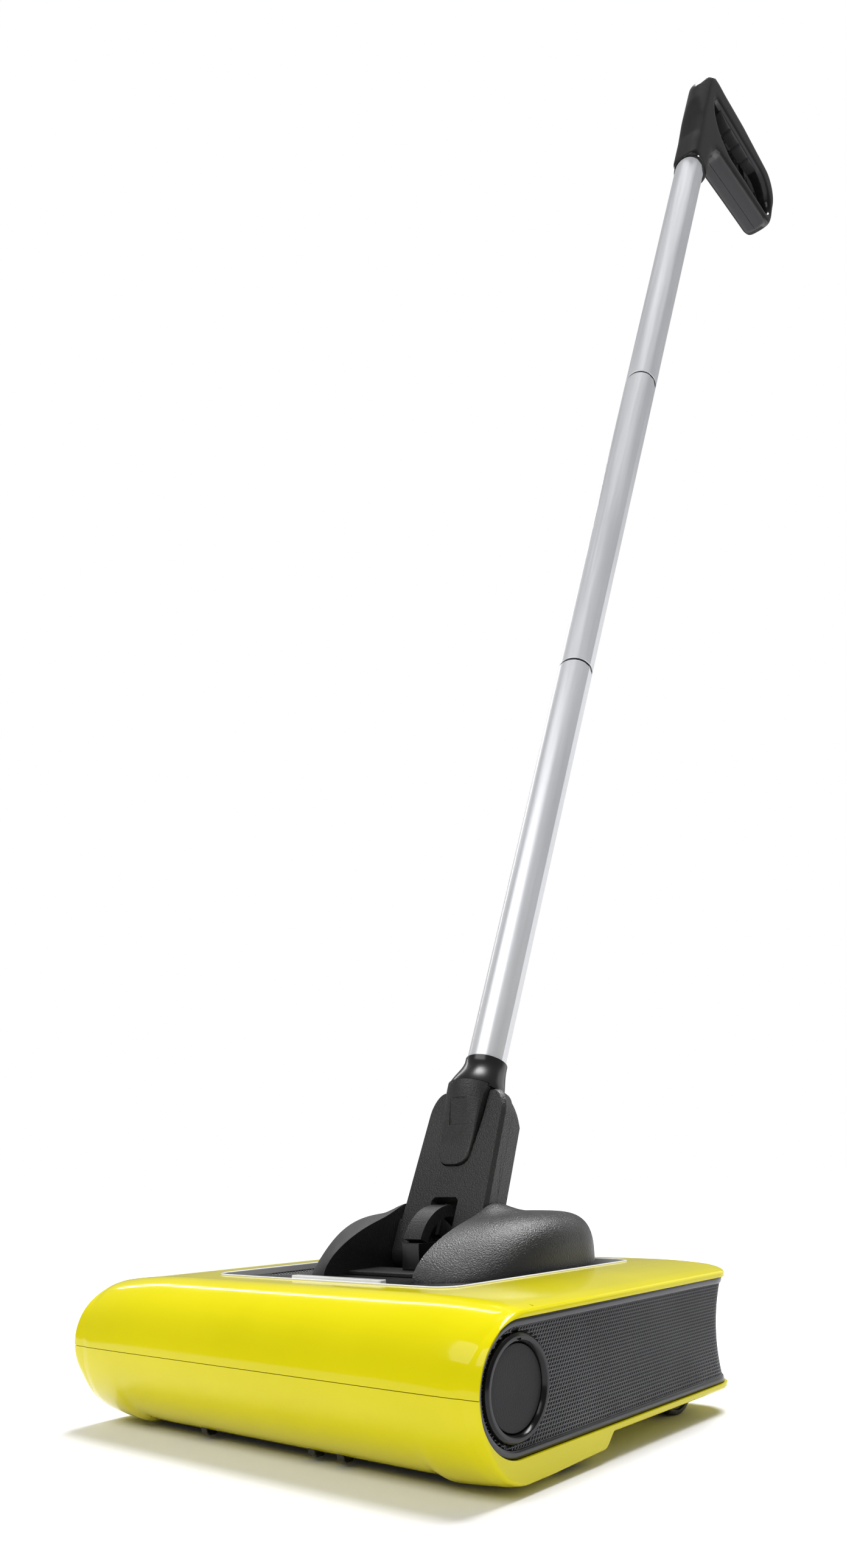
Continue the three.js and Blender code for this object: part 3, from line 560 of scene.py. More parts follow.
LIP_Y = -84.6                              # rear edge of the nose's underside, where the brush comes through
SKID_END, STEP_END = -20, -11              # the skids' flat bottom ends and the plate begins
SKID_INNER = 103.4
MOUTH_BACK = -39
NOSE_LOW = NOSE_Z - SKID_DROP


def skid_height(y):
    if y < NOSE_Y:
        return NOSE_Z - SKID_DROP * sqrt(1 - ((NOSE_Y - y) / NOSE_R) ** 2)
    runner = NOSE_LOW + 1.6 * smooth_step(y, NOSE_Y + 5, SKID_END + 10)
    return runner + (PLATE - runner) * smooth_step(y, SKID_END, STEP_END)


def skid_normal(y):
    """Outward direction (y, z) of the side profile on a runner."""
    if y >= NOSE_Y:
        return (0, -1)
    ny, nz = (y - NOSE_Y) / NOSE_R ** 2, (skid_height(y) - NOSE_Z) / SKID_DROP ** 2
    size = hypot(ny, nz)
    return (ny / size, nz / size)


def lower_shell():
    lip_b = -NOSE_R * acos((NOSE_Y - LIP_Y) / NOSE_R)
    patches = [nose_panel(lip_b, -0.15, 34, "lower_nose")]
    inner_x = nose_rim(lip_b, 1)[0][0]
    inside = SKID_INNER - 1
    # The runner rows go back from the lip to where the flat plate starts.
    stations = [LIP_Y + (NOSE_Y - LIP_Y) * k / 5 for k in range(1, 6)] + [-60, -45, -32, SKID_END]
    stations += [SKID_END + (STEP_END - SKID_END) * k / 10 for k in range(1, 11)]
    strip_x = [inner_x - 2 * inner_x * k / PANEL_COLUMNS for k in range(11)]
    for side in (1, -1):
        rims, strips = [nose_rim(lip_b, side)], [[skin(side * x, lip_b) for x in strip_x]]
        strips[0][0] = rims[0][0]
        strips[0].append((side * inside, LIP_Y, PLATE))
        for y in stations:
            low, (ny, nz) = skid_height(y), skid_normal(y)
            fall = CROWN_FALL * (1 - smooth_step(y, SKID_END, STEP_END))
            rims.append(rim_column((side * HALF, y, low), (side, 0, 0), (0, -ny, -nz), fall, HALF - inner_x,
                                   RIM_IN, window_depth((y, low), (ny, nz))))
            strip = [(side * x, y, low + fall * crown_share(x)) for x in strip_x]
            strip[0] = rims[-1][0]
            strips.append(strip + [(side * inside, y, PLATE)])
        patches += [grid(rims, YELLOW, "runner_rim"), grid(strips, YELLOW, "runner")]
    rims = [rim_column((x, y, PLATE), (ox, oy, 0), (0, 0, 1), 0, HALF - inner_x, RIM_IN, WINDOW_LOW - PLATE)
            for (x, y), (ox, oy) in rear_path(STEP_END)]
    patches.append(grid(rims, YELLOW, "lower_rim"))
    outline = [r[0] for r in rims]
    outline += [(-inside, STEP_END, PLATE), (-inside, MOUTH_BACK, PLATE), (inside, MOUTH_BACK, PLATE),
                (inside, STEP_END, PLATE)]
    bm = bmesh.new()
    bm.faces.new([bm.verts.new(place(p)) for p in outline])
    bmesh.ops.triangulate(bm, faces=bm.faces, ngon_method="EAR_CLIP")
    patches.append(to_object("lower_plate", bm, YELLOW))
    shell = close_shell(join_pieces("lower_shell_skin", patches), "shell_lower")
    wells = [prism("well", rect(y - r, y + r, -20, 40), "X", side * x - half, side * x + half, YELLOW)
             for side in (1, -1) for x, y, r, half in WHEEL_WELLS]
    wells += [turned("screw_well", [(-20, 3.5), (20, 3.5)], spot, YELLOW, 24, "Z") for spot in SCREWS]
    return cut(shell, *wells)


for piece, node in ((upper_shell(), "upper_shell"), (lower_shell(), "lower_shell")):
    soften(piece, 0.3, 2, 50)
    finish_piece(piece, "head", "yellow_shell", node)


# ---------- mesh panels round the sides and rear ----------
PANEL_INSET = 1.2                          # rim strip's face, in from the head's plan edge
STRIP = 3.4                                # width of the smooth strip along the panel's edge
ROW, PITCH, WAVE, WIRE_WIDTH = 1.6, 2.0, 0.2, 0.3
LINK_WIDTH = 0.4
WIRE_LOW, WIRE_HIGH = -1.15, -0.75         # depths of the wires, the plate behind them and the strip's back
BACKING_FACE, PANEL_BACK = -1.7, -2.6
BACKING_HALF = WINDOW_R - STRIP + 0.6
# Sections of a wire and a link: along the panel, up, and proud of the rim strip.
WIRE_SECTION = [(0, up * WIRE_WIDTH / 2, proud) for up, proud in
                ((-1, WIRE_LOW), (-0.7, WIRE_HIGH), (0.7, WIRE_HIGH), (1, WIRE_LOW))]
LINK_SECTION = [(part * LINK_WIDTH, 0, proud) for part, proud in
                ((-0.5, WIRE_LOW), (-0.33, WIRE_HIGH + 0.05), (0.33, WIRE_HIGH + 0.05), (0.5, WIRE_LOW))]
SPLIT_X = 42                               # the side panels meet the rear panel here
PANEL_FRONT = WINDOW_Y - WINDOW_R
CORNER_START = REAR - REAR_CORNER - PANEL_FRONT
CORNER_LENGTH = REAR_CORNER * pi / 2
SIDE_END = CORNER_START + CORNER_LENGTH + HALF - REAR_CORNER - SPLIT_X


def plan_station(s):
    """Plan point and outward direction at length s along the head's edge, from the front of the right side
    panel round the corner and across the rear."""
    if s < CORNER_START:
        return (HALF, PANEL_FRONT + s), (1, 0)
    a = min((s - CORNER_START) / REAR_CORNER, pi / 2)
    out = (cos(a), sin(a))
    past = max(0, s - CORNER_START - CORNER_LENGTH)
    return (HALF - REAR_CORNER + REAR_CORNER * out[0] - past, REAR - REAR_CORNER + REAR_CORNER * out[1]), out


def on_panel(s, z, proud, side=1):
    """The panel is hollow across its height, most of all towards the rear."""
    (x, y), (ox, oy) = plan_station(s)
    off = min(1, hypot(min(0, s - WINDOW_R), z - WINDOW_MID) / WINDOW_R)
    waist = 3.2 * (0.3 + 0.7 * smooth_step(s, 60, CORNER_START)) * (1 - off * off)
    depth = PANEL_INSET + waist - proud
    return (side * (x - ox * depth), y - oy * depth, z)


def panel_edge(s_end, inset):
    """The panel's outline in (s, z): along the top to the round front, and back along the bottom."""
    r = WINDOW_R - inset - GAP
    count = int((s_end - WINDOW_R) / 4)
    top = [(s_end - (s_end - WINDOW_R) * i / count, WINDOW_MID + r) for i in range(count)]
    bottom = [(s, 2 * WINDOW_MID - z) for s, z in reversed(top)]
    return top + arc(WINDOW_R, WINDOW_MID, r, 90, 270, 24) + bottom


def strip_between(outer, inner, side, name):
    """A raised strip with a rounded inner edge between two outlines in (s, z)."""
    rows = []
    for share, proud in ((0, PANEL_BACK), (0, -0.3), (0.08, 0), (0.8, 0), (0.93, -0.25), (1, -0.9),
                         (1, PANEL_BACK), (0, PANEL_BACK)):
        rows.append([on_panel(so + (si - so) * share, zo + (zi - zo) * share, proud, side)
                     for (so, zo), (si, zi) in zip(outer, inner)])
    return rows_solid(name, rows, SMOOTH)


def rows_solid(name, rows, mat):
    """Rows of points whose first and last are the same line, closed at both ends."""
    count = len(rows[0])
    points = [p for row in rows for p in row]
    faces = sheet_faces(len(rows), count)
    faces.append(tuple(r * count for r in range(len(rows) - 1)))
    faces.append(tuple(r * count + count - 1 for r in range(len(rows) - 1)))
    return from_lists(name, points, faces, mat)


def add_bar(points, faces, path, section, side):
    """A wire of four-sided section along a path of (s, z) on the panel."""
    first = len(points)
    points += [on_panel(s + ds, z + dz, proud, side) for s, z in path for ds, dz, proud in section]
    faces += sheet_faces(len(path), 4, first, wrap=True)
    last = len(points) - 4
    faces += [(first, first + 1, first + 2, first + 3), (last + 3, last + 2, last + 1, last)]


def mesh_wires(name, keep, s_from, s_to, side):
    """Wavy level wires and slanted links between them, wherever keep(s, z) allows."""
    points, faces = [], []
    rows = int(2 * WINDOW_R / ROW)
    steps = int((s_to - s_from) / (PITCH / 4)) + 1
    for k in range(rows + 1):
        z = WINDOW_MID + (k - rows / 2) * ROW
        run = []
        for i in range(steps + 1):
            s = s_from + i * PITCH / 4
            if i < steps and keep(s, z):
                run.append((s, z + WAVE * sin(2 * pi * s / PITCH + k * pi)))
                continue
            if len(run) > 1:
                add_bar(points, faces, run, WIRE_SECTION, side)
            run = []
        for i in range(int((s_to - s_from) / PITCH)):
            s = s_from + (i + 0.5 * (k % 2)) * PITCH
            path = [(s, z), (s + 0.45 * PITCH, z + ROW)]
            if all(keep(*p) for p in path):
                add_bar(points, faces, path, LINK_SECTION, side)
    return from_lists(name, points, faces, WIRE)


def backing_plate(name, row_at, side):
    """The dark plate behind the wires, from level rows. row_at(k) gives a row's height and lengths."""
    front, back = ([[on_panel(s, z, proud, side) for s in line] for z, line in map(row_at, range(17))]
                   for proud in (BACKING_FACE, PANEL_BACK))
    return rows_solid(name, front + back[::-1] + [front[0]], BACKING)


def side_panel(side):
    word = "right" if side > 0 else "left"
    outer, inner = panel_edge(SIDE_END, 0), panel_edge(SIDE_END, STRIP)
    strip = strip_between(outer, inner, side, f"panel_strip_{word}")

    def row_at(k):
        z = WINDOW_MID + BACKING_HALF * sin(pi * (k / 16 - 0.5))
        start = WINDOW_R - sqrt(max(0, BACKING_HALF ** 2 - (z - WINDOW_MID) ** 2))
        return z, [start + (SIDE_END - start) * i / 60 for i in range(61)]

    backing = backing_plate(f"panel_backing_{word}", row_at, side)
    section = [(side * x, CAP_R + GAP) for x in (HALF - 12, HALF + 2)]
    cut(backing, turned("hole", section, (CAP_Y, CAP_Z), BACKING, 96))

    def keep(s, z):
        near_cap = s < 80 and hypot(PANEL_FRONT + s - CAP_Y, z - CAP_Z) < CAP_R + 0.4
        reach = hypot(min(0, s - WINDOW_R), z - WINDOW_MID)
        return reach < WINDOW_R - STRIP + 0.5 and not near_cap

    wires = mesh_wires(f"panel_wires_{word}", keep, 1, SIDE_END - 0.3, side)
    panel = join_pieces(f"mesh_panel_{word}", [strip, backing, wires])
    finish_piece(panel, "head", "grille", f"side_grille_{word}")


SOCKET_HALF, SOCKET_LOW, SOCKET_HIGH = 7, 22, 34


def rear_panel():
    s_from, s_to = SIDE_END + GAP, SIDE_END + 2 * SPLIT_X - GAP
    line = [s_from + (s_to - s_from) * i / 20 for i in range(21)]
    half = WINDOW_R - GAP
    parts = []
    for up in (1, -1):
        edges = [[(s, WINDOW_MID + up * reach) for s in line] for reach in (half, half - STRIP)]
        parts.append(strip_between(*edges, 1, "rear_strip"))
    backing = backing_plate("rear_backing", lambda k: (WINDOW_MID + BACKING_HALF * (k / 8 - 1), line), 1)
    outline = rect(-SOCKET_HALF - GAP, SOCKET_HALF + GAP, SOCKET_LOW - GAP, SOCKET_HIGH + GAP)
    cut(backing, prism("hole", outline, "Y", REAR - 20, REAR + 2, BACKING))
    middle = SIDE_END + SPLIT_X

    def keep(s, z):
        near_socket = abs(s - middle) < SOCKET_HALF + 1 and SOCKET_LOW - 1 < z < SOCKET_HIGH + 1
        return abs(z - WINDOW_MID) < WINDOW_R - STRIP + 0.5 and not near_socket

    parts += [backing, mesh_wires("rear_wires", keep, s_from, s_to, 1)]
    finish_piece(join_pieces("mesh_panel_rear", parts), "head", "grille", "rear_grille")


for side in (1, -1):
    side_panel(side)
rear_panel()


# ---------- round end caps ----------
def cap_pieces(side, body, prefix):
    face = HALF - 0.35
    centre = (CAP_Y, CAP_Z)

    def across(section):
        return [(side * (face - back), r) for back, r in section]

    ring_section = [(4, CAP_R), (1.3, CAP_R), (0.8, CAP_R - 0.25), (0, CAP_R - 1.2), (0, CAP_R - 2.6),
                    (0.25, CAP_R - 3), (1.6, CAP_R - 3.7), (2.6, CAP_R - 4), (4, CAP_R - 4), (4, CAP_R)]
    ring = turned(f"{prefix}_rim", across(ring_section), centre, GLOSSY, 128)
    notch_z = CAP_Z + CAP_R - 3.6
    notch = prism("notch", rect(CAP_Y - 1.5, CAP_Y + 1.5, notch_z - 3, notch_z + 1.4), "X",
                  side * (face - 1.2), side * (face + 3), GLOSSY)
    cut(ring, notch)
    soften(ring, 0.15, 2, 40)
    finish_piece(ring, body, "smooth_black", f"{prefix}_ring")
    inner = CAP_R - 4 - GAP
    disc_section = [(8, 0.05), (8, 9), (4.2, 9), (4.2, inner), (2.1, inner), (1.8, inner - 0.4),
                    (1.9, inner - 4), (2.1, 0.05)]
    disc = turned(f"{prefix}_face", across(disc_section), centre, CAP_FACE, 128)
    soften(disc, 0.12, 2, 40)
    finish_piece(disc, body, "grained_black", f"{prefix}_disc")


cap_pieces(1, "release_cap", "release_cap")
cap_pieces(-1, "head", "fixed_cap")


# ---------- deck ----------
DECK_RIM, DECK_LOW = 2, DECK_TOP - 2.6
MESH_IN, MESH_OUT, MESH_FRONT, MESH_BACK, MESH_CORNER = 58, 76.5, -28, 98, 8
STUD_GAP, STUD_STEP, STUD_R = 2.0, 2.2, 0.62
WELL_FRONT, WELL_BACK, WELL_LOW, WELL_HALF = 19, 50, 68.4, SLOT_HALF + 0.2


def deck_outline(inset):
    return rounded_rect(-DECK_HALF + inset, DECK_HALF - inset, DECK_FRONT + inset, DECK_BACK - inset,
                        DECK_CORNER - inset, 12)


def deck_mesh_area(side):
    """A long strip with a rounded front end beside the dome."""
    r = MESH_CORNER
    points = [(MESH_OUT, MESH_BACK), (MESH_IN, MESH_BACK)] + arc(MESH_IN + r, MESH_FRONT + r, r, 180, 270, 8)
    points += arc(MESH_OUT - r, MESH_FRONT + r, r, 270, 360, 8)
    return points if side > 0 else [(-x, y) for x, y in reversed(points)]


def deck_studs():
    """Staggered six-sided studs on the floor of the mesh strips."""
    points, faces = [], []
    for side in (1, -1):
        for k in range(int((MESH_OUT - MESH_IN) / STUD_GAP)):
            x = MESH_IN + 1.2 + STUD_GAP * k
            front = MESH_FRONT + 1 + 5 * abs((x - (MESH_IN + MESH_OUT) / 2) / 9.25) ** 3
            for i in range(int((MESH_BACK - 1 - front) / STUD_STEP)):
                y = front + STUD_STEP * (i + 0.5 * (k % 2))
                first = len(points)
                for r, depth in ((STUD_R, 1.05), (0.8 * STUD_R, 0.35)):
                    points += [(a, b, DECK_TOP - depth) for a, b in arc(side * x, y, r, 0, 300, 5)]
                faces += sheet_faces(2, 6, first, wrap=True)
                faces += [tuple(range(first + 5, first - 1, -1)), tuple(range(first + 6, first + 12))]
    return from_lists("deck_studs", points, faces, WIRE)


def deck():
    plate = prism("deck_plate", deck_outline(DECK_RIM), "Z", DECK_LOW, DECK_TOP, SMOOTH)
    room = [(deck_mesh_area(side), DECK_TOP - 1, BACKING) for side in (1, -1)]
    room.append((rect(-WELL_HALF, WELL_HALF, WELL_FRONT, WELL_BACK), DECK_LOW - 3, SMOOTH))
    cut(plate, *(prism("room", outline, "Z", floor, DECK_TOP + 2, mat) for outline, floor, mat in room))
    soften(plate, 0.25, 2, 40)
    outline = rounded_rect(-SLOT_HALF - 2, SLOT_HALF + 2, WELL_FRONT - 2, WELL_BACK + 2, 1.5, 4)
    tray = prism("deck_tray", outline, "Z", WELL_LOW - 2, DECK_LOW, SMOOTH)
    inside = rounded_rect(-WELL_HALF, WELL_HALF, WELL_FRONT, WELL_BACK, 1, 4)
    cut(tray, prism("tray_room", inside, "Z", WELL_LOW, DECK_LOW + 1, SMOOTH))
    studs = deck_studs()
    badge = prism("deck_badge", rounded_rect(-22, 38, -59.8, -55, 1.2, 4), "Z", DECK_TOP - 0.2,
                  DECK_TOP + 4.4, BADGE_WHITE_AND_RIM_HIGHLIGHT)
    soften(badge, 0.3, 2, 40)
    whole = join_pieces("deck_cover", [settle(plate), tray, studs, settle(badge)])
    finish_piece(whole, "container", "smooth_black", "top_deck")
    # The rim ring gets the near-white material. This is a painted highlight in place of the bright line of light
    # along the deck's edge, not a white part.
    rim = prism("deck_rim_painted_highlight", deck_outline(0), "Z", DECK_LOW, TOP + 0.7, BADGE_WHITE_AND_RIM_HIGHLIGHT)
    cut(rim, prism("inside", deck_outline(DECK_RIM - 0.3), "Z", DECK_LOW - 5, TOP + 5, BADGE_WHITE_AND_RIM_HIGHLIGHT))
    soften(rim, 0.5, 3, 40)
    finish_piece(rim, "container", "rim_trim", "deck_rim")


deck()


# ---------- dome over the tilt joint ----------
DOME_Y, DOME_HALF, DOME_BACK, DOME_AHEAD, DOME_HEIGHT, DOME_PLAN = 60, 74, 40, 92, 31.5, 2.6
DOME_BASE = DECK_TOP


def dome_crest(y):
    """Height of the dome above the deck along the slot's edge."""
    reach = DOME_BACK if y > DOME_Y else DOME_AHEAD
    u, v = SLOT_HALF / DOME_HALF, abs(y - DOME_Y) / reach
    rho = min(1, (u ** DOME_PLAN + v ** DOME_PLAN) ** (1 / DOME_PLAN))
    forward = (v / rho) ** 1.3 if y < DOME_Y else 0
    steep = 5.5 - 3.85 * min(1, forward)
    ear = 5.5 * exp(-((y - 42) / 14) ** 2) * (1 - rho ** 8)
    return DOME_HEIGHT * max(0, 1 - rho ** steep) ** (1 / steep), ear


def dome_height(x, y):
    """The dome falls away from its crest, gently in front and with a full shoulder at the rear."""
    reach = DOME_BACK if y > DOME_Y else DOME_AHEAD
    span = DOME_HALF * max(0, 1 - (abs(y - DOME_Y) / reach) ** DOME_PLAN) ** (1 / DOME_PLAN)
    t = min(1, max(0, abs(x) - SLOT_HALF) / max(0.1, span - SLOT_HALF))
    full = smooth_step(y, -24, 56)
    bulge, flat = 1.15 + 2.85 * full, 1.2 + 2.4 * full
    crest, ear = dome_crest(y)
    near = exp(-((abs(x) - SLOT_HALF) / 9) ** 2)
    return DOME_BASE + 0.02 + crest * max(0, 1 - t ** bulge) ** (1 / flat) + ear * near


def dome_lobe(side):
    """Columns across the lobe, each from the dome's front edge to its rear edge, closed below."""
    columns, across = 44, 90
    rows_top = []
    for c in range(columns + 1):
        x = SLOT_HALF + (DOME_HALF - SLOT_HALF) * (1 - (1 - c / columns) ** 2.2)
        span = max(0, 1 - (x / DOME_HALF) ** DOME_PLAN) ** (1 / DOME_PLAN)
        row = []
        for i in range(across + 1):
            t = 2 * i / across - 1
            part = copysign(1 - (1 - abs(t)) ** 2.2, t) * span
            y = DOME_Y + part * (DOME_BACK if t > 0 else DOME_AHEAD)
            row.append((side * x, y, dome_height(x, y)))
        rows_top.append(row)
    wall = [(x, y, DOME_BASE) for x, y, _ in rows_top[0]]
    rows = [wall] + rows_top
    count = across + 1
    points = [p for row in rows for p in row]
    faces = sheet_faces(len(rows), count)
    bottom = [[(x, y, DOME_BASE) for x, y, _ in row] for row in rows_top]
    first = len(points)
    points += [p for row in bottom for p in row]
    faces += sheet_faces(len(bottom), count, first)
    for end in (0, across):
        for r in range(len(rows_top) - 1):
            a, b = (r + 1) * count + end, (r + 2) * count + end
            faces.append((a, b, first + (r + 1) * count + end, first + r * count + end))
    return from_lists("lobe", points, faces, GRAINED)


def dome():
    lobes = []
    for side in (1, -1):
        lobe = dome_lobe(side)
        bore = turned("bore", [(side * 20, PIN_BORE), (side * 46, PIN_BORE)], (PIVOT_Y, PIVOT_Z), GRAINED, 32)
        cut(lobe, bore)
        lobes.append(settle(soften(lobe, 0.7, 3, 38)))
    step = prism("slot_step", rounded_rect(-SLOT_HALF - 0.5, SLOT_HALF + 0.5, -9.6, 16, 1, 3), "Z", DOME_BASE,
                 DOME_BASE + 2.2, GRAINED)
    soften(step, 0.5, 2, 40)
    whole = join_pieces("dome_cover", [*lobes, settle(step)])
    finish_piece(whole, "container", "grained_black", "joint_dome")


dome()

ARM_HALF, ARM_OUTER, ARM_INNER = 6, 28, 21.5
ARM_FROM, ARM_TO = 158, 15                # degrees round the tilt axis


def parking_arm():
    band = (arc(PIVOT_Y, PIVOT_Z, ARM_OUTER, ARM_FROM, ARM_TO, 40)
            + arc(PIVOT_Y, PIVOT_Z, ARM_INNER, ARM_TO, ARM_FROM, 40))
    arm = prism("arm_band", band, "X", -ARM_HALF, ARM_HALF, GRAINED)
    foot = prism("arm_foot", rect(PIVOT_Y + 21.6, PIVOT_Y + 28.4, DOME_BASE, 90), "X", -ARM_HALF + 0.4,
                 ARM_HALF - 0.4, GRAINED)
    combine(arm, [foot], "UNION")
    soften(arm, 0.6, 3, 40)
    finish_piece(arm, "container", "grained_black", "park_arm")
    outline = [(6.5, DOME_BASE + 2.3), (24, DOME_BASE + 2.3), (24, 85), (22, 88.6), (6.5, 88.6)]
    block = prism("park_stop", outline, "X", -ARM_HALF, ARM_HALF, SMOOTH)
    soften(block, 0.35, 3, 40)
    finish_piece(block, "container", "smooth_black", "park_block")


parking_arm()


# ---------- neck, with a front and a rear shell ----------
NECK_HALF, NECK_LOW, NECK_TOP, NECK_FACE, NECK_REAR, HUB = 29.7, 12, 97, -9, 10.8, 9
SHOULDER, SHOULDER_HALF = 80, 27
NOTCH_HALF, NOTCH_TOP = 9.3, 31
PART_GROOVE, PART_PAST = 0.08, 3          # each shell first passes the parting plane, and then stops short of it
TONGUE_TOP, TONGUE_LOW, TONGUE_TOP_HALF, TONGUE_LOW_HALF, TONGUE_PROUD = 98.5, 50, 14, 10, 2
TONGUE_R, TONGUE_BACK, TONGUE_EDGE = 7, -6.2, 1.1


def inset_outline(outline, amount):
    """Moves each side of a closed outline inwards. The outline runs anticlockwise."""
    out = []
    count = len(outline)
    for i, (a, b) in enumerate(outline):
        (pa, pb), (na, nb) = outline[i - 1], outline[(i + 1) % count]
        d1, d2 = Vector((a - pa, b - pb)).normalized(), Vector((na - a, nb - b)).normalized()
        n1, n2 = Vector((-d1.y, d1.x)), Vector((-d2.y, d2.x))
        middle = (n1 + n2) / max(0.3, 1 + n1.dot(n2))
        out.append((a + middle.x * amount, b + middle.y * amount))
    return out


def neck_outline(top_half):
    """Front view of the neck: straight sides that narrow upwards to rounded shoulders."""
    right = [(NECK_HALF, NECK_LOW), (SHOULDER_HALF, SHOULDER)]
    for i in range(1, 11):
        a = pi / 2 * i / 10
        right.append((top_half + (SHOULDER_HALF - top_half) * cos(a),
                      SHOULDER + (NECK_TOP - SHOULDER) * sin(a)))
    return right + [(-x, z) for x, z in reversed(right)]


def leg(side, low_y, high_y):
    """A leg that runs down into the round hub on the tilt axis, kept between two depths."""
    outline = arc(0, 0, HUB, 180, 360, 28) + [(HUB, NECK_LOW + 6), (-HUB, NECK_LOW + 6)]
    part = prism("leg", outline, "X", side * NOTCH_HALF, side * NECK_HALF, GRAINED, upright)
    room = prism("room", rect(-40, 40, -40, 60), "Y", low_y, high_y, GRAINED, upright)
    pin = turned("pin", [(-40, 4.2), (40, 4.2)], (0, 0), GRAINED, 32, "X", upright)
    combine(part, [room], "INTERSECT")
    return cut(part, pin)


def slice_off(bm, point, normal):
    """Cuts a mesh on a plane, drops what lies along the normal and closes the cut. Returns its edges."""
    made = bmesh.ops.bisect_plane(bm, geom=bm.verts[:] + bm.edges[:] + bm.faces[:], dist=1e-7, plane_co=point,
                                  plane_no=normal, clear_outer=True)
    edges = [e for e in made["geom_cut"] if isinstance(e, bmesh.types.BMEdge)]
    bmesh.ops.holes_fill(bm, edges=edges, sides=0)
    return edges


def part_shell(obj, toward, node):
    """Cuts a shell of the neck at the parting plane. toward is 1 or -1, the way the other shell lies."""
    bm = bmesh.new()
    bm.from_mesh(settle(obj).data)
    normal = (upright((0, toward, 0)) - upright((0, 0, 0))).normalized()
    for edge in slice_off(bm, upright((0, -toward * PART_GROOVE, 0)), normal):
        edge.smooth = False
    bm.to_mesh(obj.data)
    bm.free()
    finish_piece(obj, "handle", "grained_black", node)


def tongue_outline(grow):
    half_low, half_top = TONGUE_LOW_HALF + grow, TONGUE_TOP_HALF + grow
    low, top = TONGUE_LOW - grow, TONGUE_TOP + grow
    right = arc(half_low - TONGUE_R, low + TONGUE_R, TONGUE_R, 270, 360, 8)
    right += [(half_low + 1.6, 66), (half_low + 3.2, 80), (half_top, top)]
    return right + [(-x, z) for x, z in reversed(right)]


def neck():
    """Each shell is modelled past the parting plane, softened and cut on it, so the joint is a fine line."""
    notch = [(-NOTCH_HALF, -30), (NOTCH_HALF, -30), (NOTCH_HALF, NOTCH_TOP - 2), (NOTCH_HALF - 2, NOTCH_TOP),
             (-NOTCH_HALF + 2, NOTCH_TOP), (-NOTCH_HALF, NOTCH_TOP - 2)]
    layers = [(PART_PAST, 0), (-6.6, 0), (NECK_FACE, 1.6)]
    front = layered("neck_face", neck_outline(17), "Y", layers, GRAINED)
    combine(front, [leg(1, NECK_FACE, PART_PAST), leg(-1, NECK_FACE, PART_PAST)], "UNION")
    cut(front, prism("notch", notch, "Y", -30, 30, GRAINED, upright),
        layered("tongue_room", tongue_outline(0.55), "Y", [(-20, 0), (-3.4, 0)], GRAINED))
    soften(front, 0.7, 3, 30)
    part_shell(front, 1, "neck_front")
    layers = [(-PART_PAST, 0), (8.8, 0), (NECK_REAR, 1.6)]
    rear = layered("neck_back", neck_outline(15), "Y", layers, GRAINED)
    # The rear shell's shoulders slope down backwards.
    above = [(PART_GROOVE, 92), (NECK_REAR + 4, 70), (NECK_REAR + 4, 140), (PART_GROOVE, 140)]
    cut(rear, prism("slope", above, "X", -40, 40, GRAINED, upright))
    combine(rear, [leg(1, -PART_PAST, HUB + 1), leg(-1, -PART_PAST, HUB + 1)], "UNION")
    slot = [(copysign(min(abs(x), ARM_HALF + 0.9), x), z) for x, z in notch]
    cut(rear, prism("slot", slot, "Y", -30, 30, GRAINED, upright))
    soften(rear, 0.7, 3, 30)
    part_shell(rear, -1, "neck_rear")
    section = [(-9, PIN_BORE), (-9, 8), (-8.4, 8.6), (8.4, 8.6), (9, 8), (9, PIN_BORE), (-9, PIN_BORE)]
    finish_piece(turned("pivot_sleeve", section, (PIVOT_Y, PIVOT_Z), SMOOTH), "handle", "smooth_black")


COLLAR_AHEAD, COLLAR_R = 3.6, 16.6         # the collar's foot lies ahead of the tube and is wider


def tongue_face(u, x):
    """Depth of the tongue's face. Flat low down, it swells to the collar's round front at the top."""
    flat = NECK_FACE - TONGUE_PROUD
    return flat + (-COLLAR_AHEAD - sqrt(COLLAR_R ** 2 - x * x) - flat) * smooth_step(u, 60, 100)


def tongue():
    r, tall = TONGUE_R, TONGUE_TOP - TONGUE_LOW
    ups = [r * (1 - cos(pi / 2 * k / 8)) for k in range(9)] + [r + (tall - r) * k / 24 for k in range(1, 25)]
    rows = []
    for up in ups:
        u, low = TONGUE_LOW + up, max(0, r - up)
        half = TONGUE_LOW_HALF - r + sqrt(r * r - low * low) + (TONGUE_TOP_HALF - TONGUE_LOW_HALF) * up / tall
        half = max(half, 0.6)
        row = [(-half, TONGUE_BACK, u)]
        for k in range(33):
            x = half * sin(pi / 2 * (k / 16 - 1))
            out = max(0, abs(x) - half + TONGUE_EDGE) / TONGUE_EDGE
            row.append((x, tongue_face(u, x) + TONGUE_EDGE * (1 - sqrt(1 - out ** 2)), u))
        rows.append(row + [(half, TONGUE_BACK, u)])
    body = loft("tongue", rows, GRAINED, upright)
    recess = [[(x, y, u) for x, y in rect(-6, 6, -40, tongue_face(u, 0) + 0.9)] for u in (73, 88)]
    cut(body, loft("recess", recess, GRAINED, upright))
    soften(body, 0.25, 2, 35)
    finish_piece(body, "release_button", "grained_black", "tube_release")


neck()
tongue()


# ---------- collar and tubes ----------
TUBE_BASE, TUBE_R, TUBE_BORE = 118, 11.6, 10.2
TUBE_LENGTHS = (289.9, 267.5, 245)
TUBE_NAMES = ("tube_lower", "tube_middle", "tube_upper")
JOINT_RING, PLUG_R, PLUG_BORE, PLUG_REACH = 1.2, 9.6, 7.6, 24


